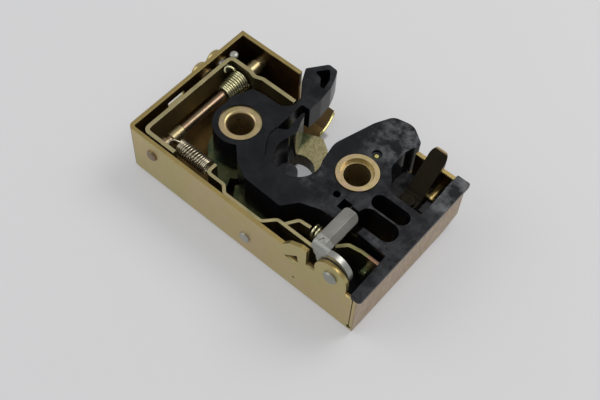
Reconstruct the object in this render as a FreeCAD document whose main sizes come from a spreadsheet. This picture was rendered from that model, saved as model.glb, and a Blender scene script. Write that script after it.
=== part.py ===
import FreeCAD, Part
import math
import os
import Sketcher

# Rotary claw door latch seen with its cover off: a folded sheet pan, a moulded guide, and between
# them the claw that holds the striker, the pawl that stops the claw, and the levers of the release.
# Millimetres. The origin is the claw's axis at the underside of the pan, X runs along the pan
# towards the lock lever, Y towards the mouth where the striker comes in, and Z out of the open side.

V = FreeCAD.Vector
UP = V(0, 0, 1)
THROUGH = 200.0

doc = FreeCAD.newDocument("DoorLatch")
sheet = doc.addObject("Spreadsheet::Sheet", "Dimensions")

DIMENSIONS = [
    # folded pan
    ("pan_height", 23.0), ("pan_sheet", 1.5), ("pan_bend", 2.2), ("claw_to_left", 28.0),
    ("claw_to_front", 26.0), ("claw_to_back", 32.0), ("pawl_to_right", 29.2),
    ("mouth_left", 0.4), ("mouth_right", 52.0), ("lip_reach", 7.8), ("lip_inset", 1.2),
    ("throat_center_x", 23.8), ("throat_center_y", 2.3), ("throat_half", 8.25), ("throat_flare", 3.4),
    ("pan_throat_gap", 2.0), ("corner_slit", 0.35), ("corner_relief", 0.9),
    ("heel_cut_length", 15.0), ("heel_cut_height", 4.6),
    # ear, tab and notch of the front wall
    ("ear_radius", 6.3), ("ear_half", 6.4), ("ear_step", 2.0),
    ("notch_width", 3.4), ("notch_floor", 21.4), ("tab_width", 10.2), ("tab_rise", 6.3),
    ("lance_width", 6.4), ("lance_height", 5.2), ("gauge_hole_radius", 0.5),
    ("gauge_hole_x", 46.7), ("gauge_hole_z", 7.6),
    ("side_window_y", -8.2), ("side_window_length", 8.0), ("side_window_low", 16.2),
    ("side_window_high", 19.5),
    # rivets
    ("rivet_head_radius", 2.15), ("rivet_head_height", 0.9), ("rivet_radius", 1.5),
    ("wall_rivet_x", 25.5), ("wall_rivet_z", 9.5),
    ("lock_to_right", 11.0), ("lock_above_pan", 2.3), ("lock_rivet_radius", 2.0),
    ("side_rivet_z", 17.2), ("side_rivet_first_y", 11.0), ("side_rivet_pitch", 7.7),
    ("side_rivet_head", 3.75), ("side_rivet_rise", 3.2), ("side_rivet_round", 1.3),
    ("side_rivet_radius", 2.2),
    # bushes
    ("pawl_x", 42.8), ("pawl_y", 10.3),
    ("bush_bore", 4.65), ("bush_radius", 6.5), ("bush_spigot", 5.7),
    ("claw_flange", 7.4), ("pawl_flange", 7.4), ("flange_thick", 2.5), ("claw_flange_sunk", 0.6),
    ("pawl_flange_proud", 0.5), ("claw_bush_lip", 1.0), ("pawl_bush_step", 1.05),
    ("pawl_bush_step_depth", 1.5),
    ("running_gap", 0.05), ("seat_gap", 0.05), ("clear_gap", 0.3),
    # claw and pawl
    ("plate_level", 3.5), ("claw_thick", 6.0), ("pawl_thick", 5.5),
    ("claw_disc", 11.6), ("claw_reach", 30.6), ("claw_tip", 29.6), ("prong_reach", 26.5),
    ("claw_tooth", 17.2), ("claw_root", 13.2),
    ("tooth_backlash", 8.6), ("notch_x", 20.4), ("notch_y", 5.6), ("notch_radius", 6.7),
    ("nose_radius", 16.0), ("nose_inner", 14.9), ("nose_outer", 20.4), ("pawl_hub", 10.8),
    ("tail_x", 51.6), ("tail_y", 3.2), ("tail_radius", 4.4), ("pad_proud", 0.7), ("pad_radius", 3.9),
    ("pad_center_x", 19.0), ("pad_center_y", 2.6), ("pawl_pin_radius", 1.9),
    # moulded guide
    ("guide_floor", 10.5), ("guide_skin", 4.0), ("guide_wall", 2.0), ("nose_floor", 14.0),
    ("guide_boss", 9.6), ("spring_pocket", 8.05), ("flange_reach", 1.4), ("flange_height", 1.5),
    ("corner_skirt", 0.9), ("flange_overhang", 0.6),
    ("slit_left", 10.7), ("slit_width", 2.6), ("slit_front", 6.2), ("slit_back", 19.7),
    ("finger_bulge", 17.3), ("groove_width", 0.5), ("groove_depth", 0.7),
    ("nose_face", 14.1), ("slot_one_y", 6.3), ("slot_one_half", 2.9), ("slot_two_y", -1.0),
    ("slot_two_half", 3.7), ("slot_left", 52.6), ("slot_right_inset", 3.4),
    ("window_left", 49.8), ("window_right", 57.2), ("window_back", -1.0),
    ("pit_front", 11.6), ("pit_shelf", 11.5), ("corner_shelf_low", 4.0), ("corner_shelf_high", 6.0),
    ("pocket_depth", 7.0), ("mark_radius", 1.75), ("mark_rise", 0.25),
    # release shaft, bracket and their springs
    ("shaft_x", -17.0), ("shaft_z", 16.0), ("shaft_radius", 1.75), ("collar_radius", 2.6),
    ("sleeve_radius", 2.7), ("sleeve_step", 2.1), ("sleeve_nose", 3.0),
    ("bracket_sheet", 1.5), ("bracket_web", 23.1), ("bracket_front", 1.2), ("bracket_ear_y", 20.5),
    ("bracket_low", 8.0), ("bracket_high", 22.0), ("bracket_front_arm", 9.2),
    ("bracket_back_arm", 6.8), ("bracket_dip", 0.9), ("bracket_arm_low", 16.4),
    ("cable_pin_radius", 1.5), ("cable_pin_head", 2.2), ("cable_pin_z", 19.6), ("cable_pin_y", 17.4),
    # lock lever and link
    ("lever_sheet", 2.0), ("lever_disc", 6.5), ("paddle_length", 17.4), ("paddle_width", 5.7),
    ("paddle_thick", 2.6), ("paddle_rise", 8.1), ("paddle_bend", 3.0), ("lock_arm", 9.0),
    ("lock_pin_radius", 1.4),
    ("link_sheet", 1.2), ("link_low", 12.0), ("link_high", 21.0), ("link_wall_gap", 0.8),
    ("link_left", 3.4), ("link_ear_reach", 6.6), ("link_tab_end", 43.1), ("link_tab_reach", 5.4),
    ("link_step", 4.0),
    # right corner
    ("corner_sheet", 1.3), ("corner_high", 21.0), ("corner_inset", 3.5), ("corner_y", -10.2),
    ("corner_pin_inset", 7.0), ("corner_pin_z", 14.0), ("corner_pin_radius", 1.9),
    ("corner_pin_length", 5.4),
    # inside lever
    ("handle_inset", 11.5), ("handle_y", 15.6), ("handle_sheet", 2.0), ("handle_width", 6.6),
    ("handle_level", 17.5), ("handle_tip_y", 32.4), ("handle_tip_z", 31.4),
    ("handle_pin_radius", 1.8), ("handle_pin_head", 2.6), ("stop_inset", 7.7), ("stop_z", 14.5),
    ("stop_radius", 1.9), ("stop_head", 2.9), ("stop_length", 6.5), ("stop_head_height", 1.6),
    ("anchor_x", 42.9), ("anchor_y", 20.6), ("anchor_radius", 1.1),
    # springs
    ("return_wire", 0.8), ("return_front_radius", 2.7), ("return_back_radius", 3.9),
    ("return_turns", 10), ("return_span", 9.2), ("bush_spring_wire", 1.0), ("bush_spring_turns", 4),
    ("pull_wire", 0.7), ("pull_radius", 2.6), ("pull_turns", 15), ("pull_x", -12.2), ("pull_y", -17.3),
    ("pull_z", 16.6), ("lock_wire", 0.9), ("lock_spring_radius", 2.4), ("lock_spring_turns", 3),
    ("lock_spring_z", 17.4),
]


class Size:
    """A length with its value and the expression that keeps a feature bound to the sheet."""

    def __init__(self, value, text):
        self.value = float(value)
        self.text = text

    def __float__(self):
        return self.value

    def __add__(self, other):
        other = size(other)
        return Size(self.value + other.value, f"({self.text} + {other.text})")

    def __sub__(self, other):
        other = size(other)
        return Size(self.value - other.value, f"({self.text} - {other.text})")

    def __mul__(self, other):
        other = size(other)
        return Size(self.value * other.value, f"({self.text} * {other.text})")

    def __truediv__(self, other):
        other = size(other)
        return Size(self.value / other.value, f"({self.text} / {other.text})")

    def __neg__(self):
        return Size(-self.value, f"(0 - {self.text})")

    def __radd__(self, other):
        return size(other) + self

    def __rsub__(self, other):
        return size(other) - self

    def __rmul__(self, other):
        return size(other) * self


def size(number):
    """Turn a plain number into a Size, so that both can be mixed in a sum."""
    return number if isinstance(number, Size) else Size(number, repr(float(number)))


class Dimensions:
    """The sheet's cells by alias."""


D = Dimensions()
for row, (alias, number) in enumerate(DIMENSIONS, start=1):
    sheet.set(f"A{row}", alias)
    sheet.set(f"B{row}", str(number))
    sheet.setAlias(f"B{row}", alias)
    setattr(D, alias, Size(number, f"Dimensions.{alias}"))
doc.recompute()

# Faces of the pan, and levels, that most pieces are placed from.
left = -D.claw_to_left
right = D.pawl_x + D.pawl_to_right
front = -D.claw_to_front
back = size(D.claw_to_back)
left_in = left + D.pan_sheet
right_in = right - D.pan_sheet
front_in = front + D.pan_sheet
back_in = back - D.pan_sheet
claw_top = D.plate_level + D.claw_thick
pawl_top = D.plate_level + D.pawl_thick
guide_top = D.pan_height + D.flange_height
claw_bush_top = guide_top - D.claw_flange_sunk
pawl_bush_top = guide_top + D.pawl_flange_proud
lock_x = right - D.lock_to_right
lock_z = D.pan_height + D.lock_above_pan
paddle_top = lock_z + D.paddle_rise
handle_x = right - D.handle_inset
stop_x = right - D.stop_inset
corner_pin_x = right - D.corner_pin_inset
nodes = {}


# Part design helpers

ROLES = {"XY": "XY_Plane", "XZ": "XZ_Plane", "YZ": "YZ_Plane"}


def new_body(label):
    body = doc.addObject("PartDesign::Body", label)
    body.Label = label
    nodes[label] = body
    return body


def new_sketch(body, name, plane, offset=None):
    """A sketch on one of the body's own origin planes, moved along the plane's normal."""
    sketch = body.newObject("Sketcher::SketchObject", f"{body.Label}_{name}")
    support = [item for item in body.Origin.OriginFeatures if item.Role == ROLES[plane]][0]
    sketch.AttachmentSupport = [(support, "")]
    sketch.MapMode = "FlatFace"
    if offset is not None:
        sketch.AttachmentOffset = FreeCAD.Placement(V(0, 0, float(offset)), FreeCAD.Rotation())
        sketch.setExpression(".AttachmentOffset.Base.z", size(offset).text)
    return sketch


def bind(sketch, kind, numbers, length):
    """Add one dimensional constraint and tie it to the sheet."""
    length = size(length)
    index = sketch.addConstraint(Sketcher.Constraint(kind, *numbers, length.value))
    sketch.setExpression(f"Constraints[{index}]", length.text)


def add_polygon(sketch, corners):
    first = sketch.GeometryCount
    count = len(corners)
    points = [V(float(x), float(y), 0) for x, y in corners]
    for i in range(count):
        sketch.addGeometry(Part.LineSegment(points[i], points[(i + 1) % count]), False)
    for i in range(count):
        follower = first + (i + 1) % count
        sketch.addConstraint(Sketcher.Constraint("Coincident", first + i, 2, follower, 1))
    for i, (x, y) in enumerate(corners):
        bind(sketch, "DistanceX", (first + i, 1), x)
        bind(sketch, "DistanceY", (first + i, 1), y)


def add_rectangle(sketch, x_low, x_high, y_low, y_high):
    add_polygon(sketch, [(x_low, y_low), (x_high, y_low), (x_high, y_high), (x_low, y_high)])


def add_circle(sketch, x, y, radius):
    index = sketch.addGeometry(Part.Circle(V(float(x), float(y), 0), UP, float(radius)), False)
    bind(sketch, "DistanceX", (index, 3), x)
    bind(sketch, "DistanceY", (index, 3), y)
    bind(sketch, "Radius", (index,), radius)


def extrude(body, kind, sketch, length, middle=False, flip=False):
    feature = body.newObject(f"PartDesign::{kind}", f"{sketch.Name}_{kind.lower()}")
    feature.Profile = sketch
    feature.Length = float(length)
    feature.setExpression("Length", size(length).text)
    feature.Midplane = middle
    feature.Reversed = flip
    return feature


def pocket_through(body, sketch):
    return extrude(body, "Pocket", sketch, THROUGH, middle=True)


def revolve(body, name, profile):
    """A turned piece: a half profile (radius, height) spun about the body's own Z axis."""
    sketch = new_sketch(body, name, "XZ")
    add_polygon(sketch, profile)
    feature = body.newObject("PartDesign::Revolution", f"{sketch.Name}_turned")
    feature.Profile = sketch
    feature.ReferenceAxis = (sketch, ["V_Axis"])
    feature.Angle = 360.0
    return feature


def place(body, x, y, z, rotation=None):
    body.Placement = FreeCAD.Placement(V(float(x), float(y), float(z)), rotation or FreeCAD.Rotation())
    for axis, length in (("x", x), ("y", y), ("z", z)):
        body.setExpression(f".Placement.Base.{axis}", size(length).text)


ALONG_Y = FreeCAD.Rotation(V(1, 0, 0), -90)
ALONG_X = FreeCAD.Rotation(V(0, 1, 0), 90)


def edges_where(shape, test):
    """Names of the edges whose two ends both pass the test."""
    names = []
    for number, edge in enumerate(shape.Edges, start=1):
        if all(test(vertex.Point) for vertex in edge.Vertexes):
            names.append(f"Edge{number}")
    return names


# Shape helpers for the cams, mouldings and bent strips, which have no sketch of their own

def rounded_wire(corners):
    """Closed wire through corners (x, y, radius), each corner an arc tangent to both sides."""
    count = len(corners)
    points = [V(float(c[0]), float(c[1]), 0) for c in corners]
    stations = []
    for i in range(count):
        here = points[i]
        into = points[i - 1] - here
        out = points[(i + 1) % count] - here
        shortest = min(into.Length, out.Length)
        into.normalize()
        out.normalize()
        turn = math.pi - math.acos(max(-1.0, min(1.0, into.dot(out))))
        reach = float(corners[i][2]) * math.tan(turn / 2)
        reach = min(reach, 0.49 * shortest)
        if reach < 1e-4:
            stations.append((here, None, here))
            continue
        radius = reach / math.tan(turn / 2)
        inward = into + out
        inward.normalize()
        center = here + inward * math.hypot(radius, reach)
        middle = center - inward * radius
        stations.append((here + into * reach, middle, here + out * reach))
    edges = []
    for i, (start, middle, end) in enumerate(stations):
        if middle is not None:
            edges.append(Part.Arc(start, middle, end).toShape())
        following = stations[(i + 1) % count][0]
        if (following - end).Length > 1e-5:
            edges.append(Part.LineSegment(end, following).toShape())
    return Part.Wire(edges)


def slab(corners, low, high):
    """A flat plate of this outline between two heights."""
    face = Part.Face(rounded_wire(corners))
    face.translate(V(0, 0, float(low)))
    return face.extrude(V(0, 0, float(high) - float(low)))


def turn_to_xz(shape):
    """Stand a shape drawn in XY up, so that its Y becomes Z and its height runs towards +Y."""
    shape = shape.copy()
    shape.rotate(V(0, 0, 0), V(1, 0, 0), 90)
    return shape.mirror(V(0, 0, 0), V(0, 1, 0))


def slab_xz(corners, y_low, y_high):
    """An upright plate of this outline (x, z, radius) between two distances along Y."""
    return turn_to_xz(slab(corners, y_low, y_high))


def cylinder(x, y, low, high, radius):
    return Part.makeCylinder(float(radius), float(high) - float(low), V(float(x), float(y), float(low)))


def cylinder_y(x, z, y_low, y_high, radius):
    base = V(float(x), float(y_low), float(z))
    return Part.makeCylinder(float(radius), float(y_high) - float(y_low), base, V(0, 1, 0))


def block(x_low, x_high, y_low, y_high, z_low, z_high):
    base = V(float(x_low), float(y_low), float(z_low))
    lengths = [float(x_high) - float(x_low), float(y_high) - float(y_low), float(z_high) - float(z_low)]
    return Part.makeBox(*lengths, base)


def obround(x_low, x_high, y, half, low, high):
    """A slot along X with round ends."""
    y, half = float(y), float(half)
    return slab([(x_low, y - half, half), (x_high, y - half, half),
                 (x_high, y + half, half), (x_low, y + half, half)], low, high)


def strip_outline(path, thick):
    """Outline of a bent strip: the path (x, y, inner bend radius) offset by half the sheet each way."""
    half = float(thick) / 2
    points = [V(float(p[0]), float(p[1]), 0) for p in path]
    sides = {1: [], -1: []}
    last = len(points) - 1
    for i, here in enumerate(points):
        before = (here - points[i - 1]) if i > 0 else (points[1] - here)
        after = (points[i + 1] - here) if i < last else (here - points[i - 1])
        before.normalize()
        after.normalize()
        normal_in = V(-before.y, before.x, 0)
        normal_out = V(-after.y, after.x, 0)
        miter = normal_in + normal_out
        miter.normalize()
        stretch = half / miter.dot(normal_in)
        turning_left = before.cross(after).z > 0
        for side in (1, -1):
            corner = here + miter * (stretch * side)
            radius = float(path[i][2])
            is_outer = (side == -1) == turning_left
            if i in (0, last):
                radius = 0.0
            elif is_outer:
                radius += float(thick)
            sides[side].append((corner.x, corner.y, radius))
    return sides[-1] + sides[1][::-1]


def bent_strip(path, thick, low, high):
    return slab(strip_outline(path, thick), low, high)


def coil(radius, wire, turns, pitch, end_radius=None):
    """A wire coil about Z from the origin upwards, of six-sided section, tapered if asked."""
    end_radius = radius if end_radius is None else end_radius
    height = float(pitch) * float(turns)
    taper = math.degrees(math.atan2(float(end_radius) - float(radius), height))
    helix = Part.makeHelix(float(pitch), height, float(radius), taper)
    section = [V(float(radius) + float(wire) / 2 * math.cos(math.radians(60 * k)), 0,
                 float(wire) / 2 * math.sin(math.radians(60 * k))) for k in range(6)]
    profile = Part.Wire(Part.makePolygon(section + section[:1]))
    return Part.Wire(helix.Edges).makePipeShell([profile], True, True)


def add_shape(label, shape, placement=None):
    """A sub-part whose shape is set directly."""
    shape = shape.removeSplitter() if shape.ShapeType != "Compound" or len(shape.Solids) == 1 else shape
    feature = doc.addObject("Part::Feature", label)
    feature.Label = label
    feature.Shape = shape
    if placement is not None:
        feature.Placement = placement
    nodes[label] = feature
    return feature


def polar(angle, radius):
    """Point at this angle in degrees and radius about the claw's axis."""
    radians = math.radians(float(angle))
    return float(radius) * math.cos(radians), float(radius) * math.sin(radians)


# Folded pan: a shell with its back wall open at the mouth, where the floor goes on as a lip

def make_pan():
    pan = new_body("housing_pan")
    outline = new_sketch(pan, "outline", "XY")
    add_rectangle(outline, left, right, front, back)
    blank = extrude(pan, "Pad", outline, D.pan_height)
    doc.recompute()

    is_low = edges_where(blank.Shape, lambda point: point.z < 0.01)
    corner = edges_where(blank.Shape, lambda point: abs(point.x - float(left)) < 0.01
                         and abs(point.y - float(front)) < 0.01)
    bends = pan.newObject("PartDesign::Fillet", "pan_bends")
    bends.Base = (blank, is_low + corner)
    bends.Radius = float(D.pan_bend)
    bends.setExpression("Radius", D.pan_bend.text)
    doc.recompute()

    shell = pan.newObject("PartDesign::Thickness", "pan_shell")
    tops = [f"Face{n}" for n, face in enumerate(bends.Shape.Faces, start=1)
            if face.CenterOfMass.z > float(D.pan_height) - 0.01]
    shell.Base = (bends, tops)
    shell.Value = float(D.pan_sheet)
    shell.setExpression("Value", D.pan_sheet.text)
    shell.Reversed = True
    doc.recompute()

    mouth = new_sketch(pan, "mouth", "XY", -1)
    add_rectangle(mouth, D.mouth_left, D.mouth_right, back - D.pan_bend - D.pan_sheet, back + 1)
    extrude(pan, "Pocket", mouth, D.pan_height * 2, flip=True)

    lip = new_sketch(pan, "lip", "XY")
    add_rectangle(lip, D.mouth_left, D.mouth_right, back - D.pan_bend - D.pan_sheet - 1,
                  back - D.pan_bend)
    extrude(pan, "Pad", lip, D.pan_sheet)
    tongue = new_sketch(pan, "tongue", "XY")
    add_rectangle(tongue, D.mouth_left + D.lip_inset, D.mouth_right - D.lip_inset,
                  back - D.pan_bend - D.pan_sheet - 1, back + D.lip_reach)
    extrude(pan, "Pad", tongue, D.pan_sheet)

    throat = new_sketch(pan, "throat", "XY")
    half = D.throat_half + D.pan_throat_gap
    x_low = D.throat_center_x - half
    x_high = D.throat_center_x + half
    flare_start = back - D.pan_bend - D.pan_sheet
    tip = back + D.lip_reach + 1
    bow = D.throat_flare * 0.3
    add_polygon(throat, [(x_low, D.throat_center_y), (x_high, D.throat_center_y), (x_high, flare_start),
                         (x_high + bow, back + 1.6), (x_high + D.throat_flare, tip),
                         (x_low - D.throat_flare, tip), (x_low - bow, back + 1.6), (x_low, flare_start)])
    pocket_through(pan, throat)
    bottom = new_sketch(pan, "throat_bottom", "XY")
    add_circle(bottom, D.throat_center_x, D.throat_center_y, half)
    extrude(pan, "Pocket", bottom, D.pan_sheet * 4, middle=True)

    wall_middle = -(front + D.pan_sheet / 2)
    ear = new_sketch(pan, "ear", "XZ", wall_middle)
    add_circle(ear, lock_x, lock_z, D.ear_radius)
    extrude(pan, "Pad", ear, D.pan_sheet, middle=True)
    ear_left = lock_x - D.ear_half
    ear_foot = new_sketch(pan, "ear_foot", "XZ", wall_middle)
    add_rectangle(ear_foot, ear_left, lock_x + D.ear_radius, D.pan_height - 4, lock_z)
    extrude(pan, "Pad", ear_foot, D.pan_sheet, middle=True)
    notch_left = ear_left - D.notch_width
    tab_left = notch_left - D.tab_width
    tab_top = D.pan_height + D.tab_rise
    tab = new_sketch(pan, "tab", "XZ", wall_middle)
    add_polygon(tab, [(tab_left, D.pan_height - 1), (notch_left, D.pan_height - 1), (notch_left, tab_top),
                      (notch_left - 2.4, tab_top), (notch_left - 7.0, tab_top - 2.6),
                      (tab_left + 0.4, D.pan_height)])
    extrude(pan, "Pad", tab, D.pan_sheet, middle=True)

    notch = new_sketch(pan, "notch", "XZ", wall_middle)
    add_rectangle(notch, notch_left, ear_left + 0.2, D.notch_floor, D.pan_height + 1.2)
    extrude(pan, "Pocket", notch, D.pan_sheet * 2, middle=True)
    lance = new_sketch(pan, "lance", "XZ", wall_middle)
    lance_right = notch_left - 2.6
    lance_low = D.pan_height - D.lance_height - 0.4
    add_polygon(lance, [(lance_right - D.lance_width, lance_low), (lance_right, lance_low),
                        (lance_right - 1.0, lance_low + D.lance_height)])
    extrude(pan, "Pocket", lance, D.pan_sheet * 2, middle=True)

    slit = new_sketch(pan, "slit", "XZ", wall_middle)
    add_rectangle(slit, right_in - D.corner_slit, right_in, D.pan_bend + 1, D.pan_height + 1)
    extrude(pan, "Pocket", slit, D.pan_sheet * 2, middle=True)
    step = new_sketch(pan, "step", "XZ", wall_middle)
    add_rectangle(step, lock_x + D.ear_radius, right_in, D.pan_height - D.ear_step, D.pan_height + 1)
    extrude(pan, "Pocket", step, D.pan_sheet * 2, middle=True)

    holes = new_sketch(pan, "front_holes", "XZ", wall_middle)
    add_circle(holes, right_in - D.corner_slit / 2, D.pan_bend + 1, D.corner_relief)
    add_circle(holes, D.gauge_hole_x, D.gauge_hole_z, D.gauge_hole_radius)
    add_circle(holes, D.wall_rivet_x, D.wall_rivet_z, D.rivet_radius + D.seat_gap)
    add_circle(holes, D.shaft_x, D.shaft_z, D.rivet_radius + D.seat_gap)
    add_circle(holes, lock_x, lock_z, D.lock_rivet_radius + D.seat_gap)
    extrude(pan, "Pocket", holes, D.pan_sheet * 2, middle=True)
    back_hole = new_sketch(pan, "back_hole", "XZ", -(back - D.pan_sheet / 2))
    add_circle(back_hole, D.shaft_x, D.shaft_z, D.rivet_radius + D.seat_gap)
    add_circle(back_hole, stop_x, D.stop_z, D.stop_radius - 0.6 + D.seat_gap)
    extrude(pan, "Pocket", back_hole, D.pan_sheet * 2, middle=True)
    side_holes = new_sketch(pan, "side_holes", "YZ", left + D.pan_sheet / 2)
    add_circle(side_holes, D.side_rivet_first_y, D.side_rivet_z, D.side_rivet_radius + D.seat_gap)
    second_y = D.side_rivet_first_y + D.side_rivet_pitch
    add_circle(side_holes, second_y, D.side_rivet_z, D.side_rivet_radius + D.seat_gap)
    extrude(pan, "Pocket", side_holes, D.pan_sheet * 2, middle=True)
    window = new_sketch(pan, "side_window", "YZ", left + D.pan_sheet / 2)
    add_rectangle(window, D.side_window_y, D.side_window_y + D.side_window_length,
                  D.side_window_low, D.side_window_high)
    extrude(pan, "Pocket", window, D.pan_sheet * 2, middle=True)
    floor_holes = new_sketch(pan, "floor_holes", "XY")
    add_circle(floor_holes, 0, 0, D.bush_spigot + D.seat_gap)
    add_circle(floor_holes, D.pawl_x, D.pawl_y, D.bush_spigot + D.seat_gap)
    extrude(pan, "Pocket", floor_holes, D.pan_sheet * 4, middle=True)

    heel = new_sketch(pan, "heel", "YZ", right)
    add_polygon(heel, [(back - D.heel_cut_length, -1), (back + 1, -1), (back + 1, D.heel_cut_height),
                       (back, D.heel_cut_height), (back - D.heel_cut_length, 0)])
    extrude(pan, "Pocket", heel, D.pan_bend * 2, middle=True)


# Turned pieces: bushes, shaft, sleeve, rivets and pins

def make_bush(label, x, y, top, flange, opening):
    """A flanged bush whose swaged spigot fills the floor's hole; the bore goes right through."""
    bush = new_body(label)
    seat = top - D.flange_thick
    profile = [(D.bush_bore, 0), (D.bush_spigot, 0), (D.bush_spigot, D.pan_sheet),
               (D.bush_radius, D.pan_sheet), (D.bush_radius, seat), (flange, seat), (flange, top)]
    revolve(bush, "profile", profile + opening)
    place(bush, x, y, 0)
    return bush


def make_claw_bush():
    bush = make_bush("claw_bush", 0, 0, claw_bush_top, D.claw_flange, [(D.bush_bore, claw_bush_top)])
    doc.recompute()
    turned = bush.Tip
    mouth = edges_where(turned.Shape, lambda point: point.z > float(claw_bush_top) - 0.01
                        and math.hypot(point.x, point.y) < float(D.bush_bore) + 0.1)
    lip = bush.newObject("PartDesign::Fillet", "claw_bush_lip_round")
    lip.Base = (turned, mouth)
    lip.Radius = float(D.claw_bush_lip)
    lip.setExpression("Radius", D.claw_bush_lip.text)


def make_pawl_bush():
    step = D.bush_bore + D.pawl_bush_step
    floor = pawl_bush_top - D.pawl_bush_step_depth
    make_bush("pawl_bush", D.pawl_x, D.pawl_y, pawl_bush_top, D.pawl_flange,
              [(step, pawl_bush_top), (step, floor), (D.bush_bore, floor)])


def make_release_shaft():
    """Shaft between the front and back walls, riveted over outside both."""
    shaft = new_body("release_shaft")
    inner = back_in - front_in
    head = D.rivet_head_height
    wall = D.pan_sheet
    collar_start = 3.4
    collar_end = 5.6
    profile = [(0, -wall - head), (D.rivet_head_radius - 0.5, -wall - head),
               (D.rivet_head_radius, -wall - head / 2), (D.rivet_head_radius, -wall),
               (D.rivet_radius, -wall), (D.rivet_radius, 0), (D.shaft_radius, 0),
               (D.shaft_radius, collar_start), (D.collar_radius, collar_start),
               (D.collar_radius, collar_end), (D.shaft_radius, collar_end), (D.shaft_radius, inner),
               (D.rivet_radius, inner), (D.rivet_radius, inner + wall),
               (D.rivet_head_radius, inner + wall), (D.rivet_head_radius - 0.5, inner + wall + head),
               (0, inner + wall + head)]
    revolve(shaft, "profile", profile)
    place(shaft, D.shaft_x, front_in, D.shaft_z, ALONG_Y)


def make_shaft_sleeve():
    """Stepped spacer that fills the shaft between the bracket's back ear and the back wall."""
    sleeve = new_body("shaft_sleeve")
    bore = D.shaft_radius + D.running_gap
    length = back_in - D.bracket_ear_y - D.bracket_sheet / 2 - 2 * D.running_gap
    profile = [(bore, 0), (D.sleeve_radius, 0), (D.sleeve_radius, length - D.sleeve_nose),
               (D.sleeve_step, length - D.sleeve_nose), (D.sleeve_step, length), (bore, length)]
    revolve(sleeve, "profile", profile)
    place(sleeve, D.shaft_x, back_in - length, D.shaft_z, ALONG_Y)


def make_wall_rivet():
    rivet = new_body("wall_rivet")
    head = D.rivet_head_height
    wall = D.pan_sheet
    profile = [(0, -head), (D.rivet_head_radius - 0.5, -head), (D.rivet_head_radius, -head / 2),
               (D.rivet_head_radius, 0), (D.rivet_radius, 0), (D.rivet_radius, wall),
               (D.rivet_head_radius, wall), (D.rivet_head_radius, wall + head), (0, wall + head)]
    revolve(rivet, "profile", profile)
    place(rivet, D.wall_rivet_x, front, D.wall_rivet_z, ALONG_Y)


def make_lock_rivet():
    """Pivot of the lock lever, through the ear, with a collar inside that keeps the lever on."""
    rivet = new_body("lock_rivet")
    head = D.rivet_head_height
    reach = D.pan_sheet + D.lever_sheet + 2 * D.clear_gap
    profile = [(0, -head), (D.rivet_head_radius, -head), (D.rivet_head_radius + 0.4, -head / 2),
               (D.rivet_head_radius + 0.4, 0), (D.lock_rivet_radius, 0), (D.lock_rivet_radius, reach),
               (D.rivet_head_radius + 0.8, reach), (D.rivet_head_radius + 0.8, reach + head),
               (0, reach + head)]
    revolve(rivet, "profile", profile)
    place(rivet, lock_x, front, lock_z, ALONG_Y)


def make_side_rivets():
    """Two broad domed rivets on the end wall, each with its closing head inside."""
    solids = []
    for index in range(2):
        y = float(D.side_rivet_first_y + index * D.side_rivet_pitch)
        head = float(D.side_rivet_head)
        rise = float(D.side_rivet_rise)
        start = float(left)
        dome = Part.makeCylinder(head, rise, V(start - rise, y, float(D.side_rivet_z)), V(1, 0, 0))
        rim = [edge for edge in dome.Edges if abs(edge.CenterOfMass.x - start + rise) < 0.01]
        dome = dome.makeFillet(float(D.side_rivet_round), rim)
        base = V(start, y, float(D.side_rivet_z))
        shank = Part.makeCylinder(float(D.side_rivet_radius), float(D.pan_sheet), base, V(1, 0, 0))
        inner = V(float(left_in), y, float(D.side_rivet_z))
        closing = Part.makeCylinder(float(D.side_rivet_radius) + 0.8, 0.8, inner, V(1, 0, 0))
        solids.append(dome.fuse([shank, closing]).removeSplitter())
    add_shape("side_rivets", Part.makeCompound(solids))


def make_headed_pin(label, x, y, low, high, radius, head_radius, head_height):
    """An upright pin with a head on top."""
    pin = new_body(label)
    edge = head_height / 3
    profile = [(0, 0), (radius, 0), (radius, high - low - head_height),
               (head_radius, high - low - head_height), (head_radius, high - low - edge),
               (head_radius - edge, high - low), (0, high - low)]
    revolve(pin, "profile", profile)
    place(pin, x, y, low)


def make_stop_pin():
    """Pin riveted into the back wall's right stub, with its broad head towards the guide."""
    pin = new_body("stop_pin")
    head = D.stop_head_height
    wall = head + D.stop_length
    neck = D.stop_radius - 0.6
    profile = [(0, 0), (D.stop_head - 0.4, 0), (D.stop_head, 0.4), (D.stop_head, head),
               (D.stop_radius, head), (D.stop_radius, wall), (neck, wall), (neck, wall + D.pan_sheet),
               (D.stop_radius, wall + D.pan_sheet), (D.stop_radius, wall + D.pan_sheet + 0.8),
               (0, wall + D.pan_sheet + 0.8)]
    revolve(pin, "profile", profile)
    place(pin, stop_x, back_in - wall, D.stop_z, ALONG_Y)


def make_anchor_pin():
    """Small plain pin sunk in its hole in the lobe."""
    pin = new_body("anchor_pin")
    length = guide_top - 1 - D.guide_floor - 2
    profile = [(0, 0), (D.anchor_radius, 0), (D.anchor_radius, length - 0.4),
               (D.anchor_radius - 0.4, length), (0, length)]
    revolve(pin, "profile", profile)
    place(pin, D.anchor_x, D.anchor_y, D.guide_floor + 2)


# Claw: disc, hook over the striker, lower prong and the tooth that the pawl stops

pawl_axis_angle = math.degrees(math.atan2(float(D.pawl_y), float(D.pawl_x)))
pawl_distance = math.hypot(float(D.pawl_x), float(D.pawl_y))
nose_angle = pawl_axis_angle - math.degrees(math.acos(float(D.nose_radius) / pawl_distance))
tooth_angle = nose_angle - float(D.tooth_backlash)


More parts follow.
